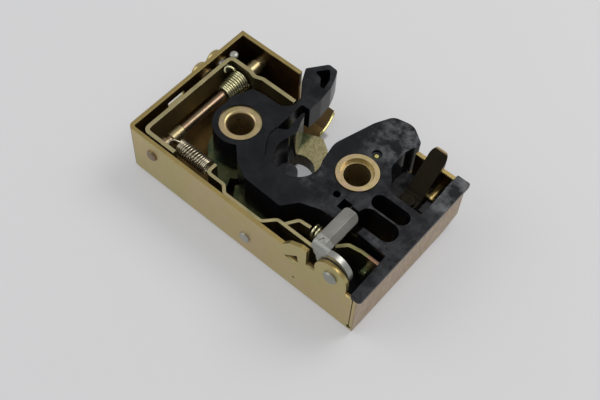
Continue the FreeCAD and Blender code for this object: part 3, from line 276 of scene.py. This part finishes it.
def inside_box(tree, limits, soft=0.25 * MM):
    """Mask that is 1 inside these limits, (axis, low, high) in metres, and fades over soft."""
    mask = None
    for axis, start, end in limits:
        sides = []
        if start is not None:
            sides.append(spread(tree, along(tree, axis), start, start + soft, 0.0, 1.0))
        if end is not None:
            sides.append(spread(tree, along(tree, axis), end - soft, end, 1.0, 0.0))
        for side in sides:
            mask = side if mask is None else combine(tree, "MULTIPLY", mask, side)
    return mask


def all_of(tree, *masks):
    """The masks multiplied: high only where all are."""
    result = masks[0]
    for mask in masks[1:]:
        result = combine(tree, "MULTIPLY", result, mask)
    return result


def any_of(tree, *masks):
    """The highest of the masks at each place."""
    result = masks[0]
    for mask in masks[1:]:
        result = combine(tree, "MAXIMUM", result, mask)
    return result


def outside(tree, mask):
    """The opposite of a mask."""
    return combine(tree, "SUBTRACT", 1.0, mask)


print("node helpers ready")

# %% [markdown]
# The table shows bright even where the latch shades it, such as through the throat. So a part of
# its paleness is a glow that only the camera and reflections see: it lights nothing, and it is
# kept from under the closed part of the latch, where the bush bores look down on a dark table.

# %% Table
FLOOR_HALF = 1.5
FLOOR_DROP = 0.02 * MM
FLOOR_COLOUR = (0.37, 0.366, 0.364, 1.0)
FLOOR_GLOW = (0.250, 0.253, 0.262, 1.0)
FLOOR_ROUGHNESS = 0.7
UNDER_LATCH = [("X", -27 * MM, 71 * MM), ("Y", -25 * MM, 31 * MM)]
UNDER_THROAT = [("X", 15 * MM, 32 * MM), ("Y", 4 * MM, None)]
GLOW_FADE = 1.0 * MM


def make_floor():
    """One large plane under the latch."""
    half = FLOOR_HALF
    mesh = bpy.data.meshes.new("table_top")
    mesh.from_pydata([(-half, -half, 0), (half, -half, 0), (half, half, 0), (-half, half, 0)],
                     [], [(0, 1, 2, 3)])
    floor = bpy.data.objects.new("table_top", mesh)
    scene.collection.objects.link(floor)
    floor.location.z = cad_bounds[0][2] - FLOOR_DROP
    material, tree, shader = new_material("table_paint")
    socket(shader, "Base Color", FLOOR_COLOUR)
    socket(shader, "Roughness", FLOOR_ROUGHNESS)
    socket(shader, "Emission Color", FLOOR_GLOW)
    ray = tree.nodes.new("ShaderNodeLightPath")
    seen = any_of(tree, ray.outputs["Is Camera Ray"], ray.outputs["Is Glossy Ray"])
    under = inside_box(tree, UNDER_LATCH, GLOW_FADE)
    throat = inside_box(tree, UNDER_THROAT, GLOW_FADE)
    covered = all_of(tree, under, outside(tree, throat))
    glow = all_of(tree, seen, outside(tree, covered))
    tree.links.new(glow, shader.inputs["Emission Strength"])
    mesh.materials.append(material)


make_floor()
print("table half size", FLOOR_HALF, "m")

# %% [markdown]
# The pan is pressed from steel with a yellow chromate finish. Such a finish is a thin clear film
# over zinc: it reads as dull brass and drifts towards olive and pink in patches. Inside, it is
# painted dark brown and amber, which is painted shade, darker on the walls than on the floor. The
# outer right wall was rubbed, so it's pinker and speckled. A film like that is a metal with a
# mild, broken gloss, so the metal share is high and the noise sits in colour and roughness. The
# walls' cut rims, a seam at the front wall's left end and the two lips at the mouth get a colour
# of their own, each inside a box.

# %% Yellow zinc for the pan
BRASS = (0.53, 0.435, 0.200)
OLIVE = (0.48, 0.425, 0.185)
PINKISH = (0.55, 0.425, 0.240)
# Painted shade inside the pan: brown and amber on the floor, darker brown on the walls.
AMBER = (0.18, 0.115, 0.040)
AMBER_DARK = (0.10, 0.062, 0.022)
AMBER_PALE = (0.26, 0.19, 0.075)
SHADED_WALL_DARK = (0.050, 0.030, 0.011)
SHADED_WALL_PALE = (0.135, 0.072, 0.026)
RUBBED_DARK = (0.345, 0.25, 0.165)
RUBBED_PALE = (0.49, 0.375, 0.25)
EDGE_GOLD = (0.36, 0.27, 0.10)
SEAM_BROWN = (0.06, 0.035, 0.012)
LIP_BROWN = (0.085, 0.055, 0.022)
SKIN = 0.6 * MM
PAN_FRONT = -26 * MM
PAN_BACK = 32 * MM
HOLLOW_TOP = 22.6 * MM
RIM_BOTTOM = 22.4 * MM
SEAM_FADE = 0.15 * MM
LIP_START = 30.5 * MM
LIP_TOP = 12.0 * MM
FINE_HEIGHT = 0.02 * MM


def make_pan_finish():
    """Yellow zinc: patches outside, a speckled right wall, painted shade inside, gold rims."""
    material, tree, shader = new_material("yellow_zinc")
    socket(shader, "Metallic", 0.92)
    patches = noise(tree, 45.0, 5.0, 0.6)
    colour = ramp(tree, patches, [(0.30, OLIVE), (0.50, BRASS), (0.72, PINKISH)])
    low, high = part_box("housing_pan")
    right_wall = spread(tree, along(tree, "X"), high[0] - 0.8 * MM, high[0] - 0.1 * MM, 0.0, 1.0)
    speckle = noise(tree, 900.0, 3.0, 0.7, (1.0, 1.0, 0.25))
    rubbed = ramp(tree, speckle, [(0.35, RUBBED_DARK), (0.65, RUBBED_PALE)])
    colour = blend(tree, right_wall, colour, rubbed)
    # Painted shade: inside the pan the colour is darkened, more on the walls than on the floor.
    shaded_hollow = inside_box(tree, [("X", low[0] + SKIN, high[0] - SKIN),
                               ("Y", PAN_FRONT + SKIN, PAN_BACK - SKIN), ("Z", SKIN, HOLLOW_TOP)])
    upward = upward_faces(tree, 0.5, 0.8)
    inside_shade_noise = noise(tree, 70.0, 4.0, 0.6)
    shaded_inner_wall = ramp(tree, inside_shade_noise, [(0.35, SHADED_WALL_DARK), (0.62, SHADED_WALL_PALE)])
    shaded_amber_floor = ramp(tree, inside_shade_noise, [(0.35, AMBER_DARK), (0.60, AMBER), (0.75, AMBER_PALE)])
    colour = blend(tree, shaded_hollow, colour, blend(tree, upward, shaded_inner_wall, shaded_amber_floor))
    rim = all_of(tree, inside_box(tree, [("Z", RIM_BOTTOM, None)]), upward)
    colour = blend(tree, rim, colour, EDGE_GOLD)
    seam = inside_box(tree, [("X", low[0] + 1.2 * MM, low[0] + 1.8 * MM), ("Y", None, -25.6 * MM)],
                      SEAM_FADE)
    colour = blend(tree, seam, colour, SEAM_BROWN)
    lip = all_of(tree, inside_box(tree, [("Y", LIP_START, None), ("Z", None, LIP_TOP)]), upward)
    colour = blend(tree, lip, colour, LIP_BROWN)
    rough = uneven(tree, noise(tree, 160.0, 6.0, 0.65), 0.30, 0.46)
    grain = noise(tree, 1500.0, 3.0, 0.6)
    shade(tree, shader, colour, rough, [(grain, FINE_HEIGHT, 0.25)], edge=0.25 * MM)
    return material


pan_finish = make_pan_finish()
print("made", pan_finish.name)

# %% [markdown]
# The moulded guide is black plastic with a faint grain. Dust and dried grease leave grey patches
# on its upper faces, most of all on the lobe and in the right corner, and its sides are glossier
# than its top. On the lobe the grey is also a painted sheen, which grows towards the lobe's back
# right. Grey is laid over black where a large noise, the upward faces and a few places on the
# latch meet.

# %% Black moulded plastic
PLASTIC_BLACK = (0.0042, 0.0046, 0.0060)
DUST_AND_SHEEN_GREY = (0.17, 0.175, 0.18)
RIB_DUST = 0.55
SIDE_GLOSS = 0.55
RIPPLE_HEIGHT = 0.10 * MM
DUSTY_CORNER = [("X", 65.0 * MM, None), ("Y", 14.0 * MM, None)]
DUSTY_RIBS = [("X", 52.0 * MM, 69.0 * MM), ("Y", -9.0 * MM, 5.0 * MM)]
DUSTY_BUSH_SIDE = [("X", 29.0 * MM, 36.0 * MM), ("Y", -6.0 * MM, 6.0 * MM)]


def make_moulding_finish():
    """Black plastic with grey dust on chosen upper faces, a painted sheen on the lobe, and
    glossier sides.
    """
    material, tree, shader = new_material("black_moulding")
    socket(shader, "Specular IOR Level", 0.16)
    smudge = noise(tree, 130.0, 7.0, 0.72)
    dust_and_sheen = spread(tree, smudge, 0.44, 0.70, 0.0, 0.85)
    upward = upward_faces(tree, 0.6, 0.95)
    # Painted sheen: on the lobe the grey grows towards the back right, over the dust.
    lobe = all_of(tree, spread(tree, along(tree, "X"), 34.0 * MM, 42.0 * MM, 0.16, 1.0),
                  spread(tree, along(tree, "Y"), 18.0 * MM, 25.0 * MM, 0.25, 1.0))
    corner = inside_box(tree, DUSTY_CORNER, 3.0 * MM)
    ribs = inside_box(tree, DUSTY_RIBS, 2.5 * MM)
    beside_bush = inside_box(tree, DUSTY_BUSH_SIDE, 2.5 * MM)
    faint = combine(tree, "MULTIPLY", any_of(tree, ribs, beside_bush), RIB_DUST)
    dust_and_sheen = all_of(tree, dust_and_sheen, upward, any_of(tree, lobe, corner, faint))
    colour = blend(tree, dust_and_sheen, PLASTIC_BLACK, DUST_AND_SHEEN_GREY)
    rough = uneven(tree, noise(tree, 260.0, 5.0, 0.6), 0.30, 0.52)
    top_face = upward_faces(tree, 0.2, 0.8)
    rough = combine(tree, "MULTIPLY", rough, spread(tree, top_face, 0.0, 1.0, SIDE_GLOSS, 1.0))
    grain = noise(tree, 2400.0, 2.0, 0.5)
    ripple = noise(tree, 140.0, 4.0, 0.6)
    shade(tree, shader, colour, rough, [(ripple, RIPPLE_HEIGHT, 0.35), (grain, FINE_HEIGHT, 0.3)],
          edge=0.3 * MM)
    return material


moulding_finish = make_moulding_finish()
print("made", moulding_finish.name)

# %% [markdown]
# The turned, blanked and drawn steel parts share one recipe with different colours: two or three
# tints that drift over the surface, a fine grain along one direction where the part was turned or
# drawn, and a rounded edge that catches the light. On some the side faces are painted darker than
# the tops, which is painted shade, and some get another colour inside a box.

# %% Plated steels
STEEL_METALLIC = 0.9
STEEL_GRAIN = 1800.0
STEEL_EDGE = 0.15 * MM
TINT_FADE = 0.5 * MM
# Painted shade: the strap is painted near black.
SHADED_STRAP_STOPS = [(0.35, (0.006, 0.005, 0.003)), (0.65, (0.016, 0.012, 0.006))]


def make_steel(name, stops, rough, patch=90.0, stretch=(1, 1, 1), shaded_flank=1.0, tint=None):
    """A plated steel: tints over a noise, a fine grain, painted shade on the flanks, and a box
    colour.
    """
    material, tree, shader = new_material(name)
    socket(shader, "Metallic", STEEL_METALLIC)
    colour = ramp(tree, noise(tree, patch, 4.0, 0.6), stops)
    # Painted shade: faces that don't look up are darkened, down to the given share.
    if shaded_flank < 1:
        upward = upward_faces(tree, 0.4, 0.8, shaded_flank)
        colour = blend(tree, 1.0, colour, upward, "MULTIPLY")
    # The box colour is a real copper tint on the corner strip, and a painted highlight on the
    # paddle's front bend and the strap's tip.
    if tint is not None:
        limits, shown = tint
        colour = blend(tree, inside_box(tree, limits, TINT_FADE), colour, shown)
    roughness = uneven(tree, noise(tree, patch * 3, 5.0, 0.6), rough * 0.8, rough * 1.25)
    fine = noise(tree, STEEL_GRAIN, 2.0, 0.6, stretch)
    shade(tree, shader, colour, roughness, [(fine, FINE_HEIGHT, 0.25)], edge=STEEL_EDGE)
    return material


bush_finish = make_steel("turned_bush", [(0.34, (0.40, 0.33, 0.15)), (0.50, (0.50, 0.39, 0.20)),
                                         (0.66, (0.52, 0.36, 0.26))], 0.32, patch=160.0)
rivet_finish = make_steel("rivet_steel", [(0.35, (0.34, 0.34, 0.30)),
                                          (0.65, (0.48, 0.47, 0.42))], 0.40)
shaft_finish = make_steel("shaft_steel", [(0.32, (0.20, 0.18, 0.08)), (0.50, (0.26, 0.165, 0.115)),
                                          (0.68, (0.22, 0.19, 0.11))], 0.28, patch=120.0)
lever_finish = make_steel("lever_sheet", [(0.34, (0.34, 0.30, 0.15)), (0.52, (0.44, 0.38, 0.20)),
                                          (0.70, (0.42, 0.33, 0.18))], 0.34, shaded_flank=0.42)
# The paddle's front bend, in front of Y -19.5 mm, is painted paler: a painted highlight.
paddle_finish = make_steel("silver_paddle", [(0.35, (0.185, 0.180, 0.160)),
                                             (0.65, (0.25, 0.245, 0.22))], 0.36,
                           stretch=(6, 0.3, 1),
                           tint=([("Y", None, -19.5 * MM)], (0.33, 0.33, 0.30)))
strap_finish = make_steel("dark_strap", SHADED_STRAP_STOPS, 0.34)
gold_finish = make_steel("gold_pin", [(0.35, (0.20, 0.14, 0.05)),
                                      (0.65, (0.34, 0.27, 0.12))], 0.32)
anchor_finish = make_steel("anchor_head", [(0.35, (0.50, 0.46, 0.13)),
                                           (0.65, (0.62, 0.58, 0.24))], 0.30)
sleeve_finish = make_steel("sleeve_steel", [(0.35, (0.26, 0.21, 0.10)),
                                            (0.65, (0.38, 0.31, 0.17))], 0.30)
# The rolled edge is painted a paler gold than the pan: a painted highlight.
bead_highlight_finish = make_steel("rolled_edge", [(0.35, (0.62, 0.54, 0.16)),
                                         (0.65, (0.76, 0.68, 0.30))], 0.26)
dome_finish = make_steel("side_dome", [(0.35, (0.36, 0.28, 0.11)),
                                       (0.65, (0.46, 0.38, 0.18))], 0.34)
green_finish = make_steel("green_pin", [(0.35, (0.10, 0.16, 0.08)),
                                        (0.65, (0.26, 0.32, 0.18))], 0.20)
wire_finish = make_steel("spring_wire", [(0.35, (0.56, 0.53, 0.30)),
                                         (0.65, (0.74, 0.71, 0.48))], 0.26)
dark_wire_finish = make_steel("dark_spring_wire", [(0.35, (0.36, 0.31, 0.22)),
                                                   (0.65, (0.58, 0.52, 0.39))], 0.24)
print("finishes so far:", sorted(item.name for item in bpy.data.materials))

# %% [markdown]
# The claw and the pawl are blanked from thick plate. Where the striker bar runs, the plate is a
# grainy khaki; under the moulding it is painted a dark green, a green tint with painted shade over
# it, and its side faces are a darker copy of the grain, which is painted shade too. The buffer in
# the claw's notch is rubber.

# %% Claw, pawl and buffer
SPECK_HEIGHT = 0.03 * MM
STRIKER_ROOM = [("X", 15.0 * MM, 34.0 * MM), ("Y", 6.0 * MM, None)]


def make_blank_finish():
    """The claw and the pawl: khaki where the striker bar runs, painted shade in dark green under
    the moulding and on the sides.
    """
    material, tree, shader = new_material("blanked_claw")
    socket(shader, "Metallic", 0.75)
    speck = noise(tree, 1300.0, 3.0, 0.65)
    khaki = ramp(tree, speck, [(0.36, (0.245, 0.205, 0.095)), (0.52, (0.36, 0.32, 0.165)),
                               (0.68, (0.43, 0.385, 0.21))])
    # Painted shade: under the moulding the plate is darkened to a dark green.
    shaded_green = ramp(tree, noise(tree, 120.0, 4.0, 0.6), [(0.38, (0.055, 0.085, 0.040)),
                                                       (0.62, (0.20, 0.20, 0.085))])
    throat = inside_box(tree, STRIKER_ROOM, 1.5 * MM)
    colour = blend(tree, throat, shaded_green, khaki)
    # Painted shade: the side faces get a darker copy of the grain.
    shaded_flank = ramp(tree, speck, [(0.36, (0.030, 0.024, 0.013)), (0.66, (0.085, 0.066, 0.034))])
    colour = blend(tree, upward_faces(tree, 0.4, 0.8), shaded_flank, colour)
    rough = uneven(tree, noise(tree, 500.0, 4.0, 0.6), 0.34, 0.52)
    shade(tree, shader, colour, rough, [(speck, SPECK_HEIGHT, 0.35)], edge=0.3 * MM)
    return material


def make_pad_finish():
    """Black rubber with a soft shine."""
    material, tree, shader = new_material("claw_buffer")
    speck = noise(tree, 300.0, 4.0, 0.6)
    colour = ramp(tree, speck, [(0.35, (0.010, 0.011, 0.013)), (0.70, (0.035, 0.036, 0.040))])
    rough = uneven(tree, speck, 0.28, 0.45)
    shade(tree, shader, colour, rough, [(noise(tree, 900.0), SPECK_HEIGHT, 0.3)], edge=0.3 * MM)
    return material


pad_finish = make_pad_finish()
blank_finish = make_blank_finish()
print("made", pad_finish.name, "and", blank_finish.name)

# %% [markdown]
# Two steels change along the piece: the strip in the right corner turns to copper at its right
# end, and the strap lever, painted near black as shade, has its tip painted gold as a highlight.
# Both colours start at a distance from the end of the solid.

# %% Steels with a coloured end
COPPER_LENGTH = 4.6 * MM
COPPER = (0.40, 0.235, 0.15)
# A painted highlight: the strap's tip is painted a pale gold.
TIP_LENGTH = 1.1 * MM
TIP_HIGHLIGHT_GOLD = (0.50, 0.36, 0.20)

strip_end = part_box("corner_strip")[1][0]
copper_finish = make_steel("copper_strip", [(0.35, (0.26, 0.24, 0.10)),
                                            (0.65, (0.38, 0.34, 0.18))], 0.32, shaded_flank=0.5,
                           tint=([("X", strip_end - COPPER_LENGTH, None)], COPPER))
strap_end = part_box("inside_lever")[1][1]
lever_tip_finish = make_steel("strap_with_bright_tip", SHADED_STRAP_STOPS, 0.34,
                              tint=([("Y", strap_end - TIP_LENGTH, None)], TIP_HIGHLIGHT_GOLD))
print("made", copper_finish.name, "and", lever_tip_finish.name)

# %% [markdown]
# Each solid gets one finish. The table below is the whole list, so a missing name would show at
# once.

# %% Finishes on the solids
FINISH_OF = {
    "housing_pan": pan_finish, "guide_moulding": moulding_finish, "claw_pad": pad_finish,
    "claw_bush": bush_finish, "pawl_bush": bush_finish,
    "release_shaft": shaft_finish, "shaft_sleeve": sleeve_finish,
    "wall_rivet": rivet_finish, "lock_rivet": rivet_finish, "side_rivets": dome_finish,
    "claw_plate": blank_finish, "pawl_plate": blank_finish, "pawl_pin": rivet_finish,
    "release_bracket": lever_finish, "link_plate": lever_finish, "cable_pin": paddle_finish,
    "lock_lever": paddle_finish, "lock_pin": rivet_finish,
    "corner_strip": copper_finish, "corner_pin": green_finish,
    "inside_lever": lever_tip_finish, "inside_lever_pin": strap_finish,
    "stop_pin": gold_finish, "anchor_pin": anchor_finish,
    "return_spring": wire_finish, "claw_spring": wire_finish, "pawl_spring": wire_finish,
    "pull_spring": dark_wire_finish, "lock_spring": wire_finish,
}
for node, finish in FINISH_OF.items():
    nodes[node].data.materials.clear()
    nodes[node].data.materials.append(finish)
print("finishes on", len(FINISH_OF), "of", len(nodes), "solids")

# %% [markdown]
# The three springs that show are round wire with closed ends and bent hooks. The solids stand for
# them with six-sided wire and open ends, which catches the light in flat bands. So each is drawn
# again as a tube round a path: a helix whose end turns lie close, and short straight runs for the
# hooks. The tube is a mesh, not a curve.

# %% Round wire along a path
WIRE_SIDES = 10
POINTS_PER_TURN = 28


def wire_mesh(name, path, radius):
    """A closed round tube of this radius round the path's points, as a smooth mesh object."""
    sides = WIRE_SIDES
    points = [Vector(point) for point in path]
    rings = []
    across = None
    for index, point in enumerate(points):
        before = points[max(index - 1, 0)]
        after = points[min(index + 1, len(points) - 1)]
        heading = (after - before).normalized()
        if across is None:
            across = heading.orthogonal().normalized()
        across = (across - heading * across.dot(heading)).normalized()
        over = heading.cross(across)
        rings.append([point + across * radius * math.cos(math.tau * k / sides)
                      + over * radius * math.sin(math.tau * k / sides) for k in range(sides)])
    vertices = [vertex for ring in rings for vertex in ring]
    faces = []
    for row in range(len(rings) - 1):
        for k in range(sides):
            here = row * sides + k
            beside = row * sides + (k + 1) % sides
            faces.append((here, beside, beside + sides, here + sides))
    last = (len(rings) - 1) * sides
    faces.append(tuple(range(sides))[::-1])
    faces.append(tuple(last + k for k in range(sides)))
    mesh = bpy.data.meshes.new(name)
    mesh.from_pydata(vertices, [], faces)
    mesh.shade_smooth()
    piece = bpy.data.objects.new(name, mesh)
    scene.collection.objects.link(piece)
    return piece


def helix(turns, length, radius_at, end_share=0.12):
    """Points (angle, distance, radius) of a coil whose first and last turn lie closer together."""
    total = int(turns * POINTS_PER_TURN)
    points = []
    for step in range(total + 1):
        share = step / total
        closing = end_share * math.sin(math.tau * share) / math.tau
        points.append((math.tau * turns * share, length * (share - closing), radius_at(share)))
    return points


def dress_spring(piece, node, body, finish):
    """Give a wire piece its finish and let it stand for a solid spring on this body."""
    piece.data.materials.append(finish)
    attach(piece, body)
    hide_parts(node)
    print(piece.name, "for", node, "faces:", len(piece.data.polygons))


# %% [markdown]
# The return spring widens towards the back wall. The axis is the shaft's, so the coil is laid
# round that line, and its hook over the bracket comes further down, because it rides on the
# bracket.

# %% Return spring
low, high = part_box("return_spring")
shaft_x = (low[0] + high[0]) / 2
shaft_z = (low[2] + high[2]) / 2
RETURN_WIRE = 0.40 * MM
RETURN_TURNS = 10
first_radius = 2.7 * MM
last_radius = (high[0] - low[0]) / 2 - RETURN_WIRE
coil_start = low[1] + RETURN_WIRE
coil_length = high[1] - low[1] - 2 * RETURN_WIRE
path = []
for angle, distance, radius in helix(
        RETURN_TURNS, coil_length,
        lambda share: first_radius + (last_radius - first_radius) * share):
    path.append((shaft_x + radius * math.cos(angle), coil_start + distance,
                 shaft_z + radius * math.sin(angle)))
return_coil = wire_mesh("return_coil", path, RETURN_WIRE)
dress_spring(return_coil, "return_spring", "housing", wire_finish)

# %% [markdown]
# The pull spring lies along the front wall. Its left end is hooked into the bracket's arm and its
# right end into the link's ear. When the link slides left the spring shortens towards the bracket;
# the mesh rides on the link and gets a copy of its own.

# %% Pull spring
low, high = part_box("pull_spring")
PULL_WIRE = 0.33 * MM
PULL_RADIUS = 2.6 * MM
PULL_TURNS = 14.5
PULL_CLOSING = 0.35
PULL_HOOK = ((-1.1, -4.3, -0.9), (-1.9, -3.9, -0.2), (-2.5, -3.0, 0.4), (-2.4, -1.8, 0.7),
             (-1.6, -0.8, 0.6), (-0.7, -0.3, 0.2))
pull_z = high[2] - PULL_RADIUS - PULL_WIRE
pull_y = high[1] - PULL_RADIUS - PULL_WIRE
pull_start = low[0] + PULL_WIRE
pull_end = high[0] - 2.2 * MM
top = pull_z + PULL_RADIUS
path = [(pull_start + x * MM, pull_y + y * MM, top + z * MM) for x, y, z in PULL_HOOK]
for angle, distance, radius in helix(PULL_TURNS, pull_end - pull_start, lambda share: PULL_RADIUS,
                                     PULL_CLOSING):
    path.append((pull_start + distance, pull_y + radius * math.sin(angle),
                 pull_z + radius * math.cos(angle)))
path += [(pull_end + 0.5 * MM, pull_y + 0.2 * MM, pull_z - PULL_RADIUS),
         (high[0], pull_y, pull_z - PULL_RADIUS)]
pull_coil = wire_mesh("pull_coil", path, PULL_WIRE)
dress_spring(pull_coil, "pull_spring", "link", dark_wire_finish)
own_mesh(pull_coil)

# %% [markdown]
# The lock spring is the short one with three bright turns between the link's tab and the lever.

# %% Lock spring
low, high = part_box("lock_spring")
LOCK_WIRE = 0.45 * MM
LOCK_TURNS = 3
lock_radius = (high[2] - low[2]) / 2 - LOCK_WIRE
lock_y = (low[1] + high[1]) / 2
lock_z = (low[2] + high[2]) / 2
lock_length = high[0] - low[0] - 2 * LOCK_WIRE
path = []
for angle, distance, radius in helix(LOCK_TURNS, lock_length, lambda share: lock_radius):
    path.append((low[0] + LOCK_WIRE + distance, lock_y + radius * math.cos(angle),
                 lock_z + radius * math.sin(angle)))
lock_coil = wire_mesh("lock_coil", path, LOCK_WIRE)
dress_spring(lock_coil, "lock_spring", "housing", wire_finish)

# %% [markdown]
# Four small things are too fine for the solids. The shaft has a turned collar near its front end,
# a small stud stands at the bracket's back corner, the return spring's outer end is hooked up to
# the bracket's web, and the mouth's left edge is rolled to a bead, painted a paler gold as a
# highlight. A lathe profile does for the first two, a bent wire for the others. Each rides on the
# body that carries it.

# %% Turned pieces
TURNED_SIDES = 32


def turned_mesh(name, profile, place, axis):
    """A closed solid of revolution along Y or Z: (radius, height) points, with flat end caps."""
    steps = TURNED_SIDES
    vertices = []
    for radius, height in profile:
        for k in range(steps):
            angle = math.tau * k / steps
            across = (radius * math.cos(angle), radius * math.sin(angle))
            if axis == "Y":
                spot = (across[0], height, across[1])
            else:
                spot = (across[0], across[1], height)
            vertices.append(tuple(base + value for base, value in zip(place, spot)))
    faces = []
    for row in range(len(profile) - 1):
        for k in range(steps):
            here = row * steps + k
            beside = row * steps + (k + 1) % steps
            face = (here, beside, beside + steps, here + steps)
            faces.append(face[::-1] if axis == "Y" else face)
    last = (len(profile) - 1) * steps
    first_cap = tuple(range(steps))[::-1]
    last_cap = tuple(last + k for k in range(steps))
    faces.append(first_cap[::-1] if axis == "Y" else first_cap)
    faces.append(last_cap[::-1] if axis == "Y" else last_cap)
    mesh = bpy.data.meshes.new(name)
    mesh.from_pydata(vertices, [], faces)
    piece = bpy.data.objects.new(name, mesh)
    scene.collection.objects.link(piece)
    return piece


def add_piece(piece, body, finish):
    """Finish a small piece and let it ride on a body."""
    piece.data.materials.append(finish)
    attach(piece, body)
    print(piece.name, "on", body)


COLLAR_RADIUS = 2.25 * MM
COLLAR_CHAMFER = 0.3 * MM
COLLAR_INSIDE = 1.6 * MM
COLLAR_PLACE = (shaft_x, -17.0 * MM, shaft_z)
collar_profile = [(COLLAR_INSIDE, 0), (COLLAR_RADIUS - COLLAR_CHAMFER, 0),
                  (COLLAR_RADIUS, COLLAR_CHAMFER), (COLLAR_RADIUS, 5.4 * MM),
                  (COLLAR_RADIUS - COLLAR_CHAMFER, 5.7 * MM), (COLLAR_INSIDE, 5.7 * MM)]
collar = turned_mesh("shaft_collar", collar_profile, COLLAR_PLACE, "Y")
add_piece(collar, "housing", sleeve_finish)
STUD_RADIUS = 1.6 * MM
STUD_PLACE = (-23.4 * MM, 22.3 * MM, 19.6 * MM)
stud_profile = [(STUD_RADIUS * 0.55, 0), (STUD_RADIUS * 0.55, 1.6 * MM), (STUD_RADIUS, 1.7 * MM),
                (STUD_RADIUS, 2.1 * MM), (STUD_RADIUS * 0.8, 2.5 * MM),
                (STUD_RADIUS * 0.35, 2.7 * MM)]
stud = turned_mesh("corner_stud", stud_profile, STUD_PLACE, "Z")
add_piece(stud, "release", rivet_finish)

# %% [markdown]
# The hook is a short bent wire above the coil, and the bead follows the edge of the mouth in the
# floor.

# %% Bent wires
HOOK_WIRE = 0.42 * MM
BEAD_WIRE = 0.5 * MM
HOOK_PATH = ((-18.9, 18.3, 19.7), (-19.8, 18.1, 20.4), (-20.7, 17.6, 21.0), (-21.6, 16.8, 21.3),
             (-21.9, 15.9, 21.1), (-21.5, 15.2, 20.6), (-20.8, 15.0, 20.2))
hook = wire_mesh("spring_hook", [Vector(point) * MM for point in HOOK_PATH], HOOK_WIRE)
add_piece(hook, "release", wire_finish)
BEAD_PATH = ((11.2, 38.6, 1.7), (11.9, 36.8, 1.7), (12.6, 34.6, 1.7), (13.2, 32.2, 1.7),
             (13.6, 29.8, 1.7), (13.7, 27.4, 1.7))
bead = wire_mesh("mouth_bead", [Vector(point) * MM for point in BEAD_PATH], BEAD_WIRE)
add_piece(bead, "housing", bead_highlight_finish)

# %% [markdown]
# Last, the size of the solid model's box is printed. Nothing here may stand outside the solid
# model's box.

# %% Sizes and finish
print("cad box", [[round(value * 1000, 1) for value in corner] for corner in cad_bounds])
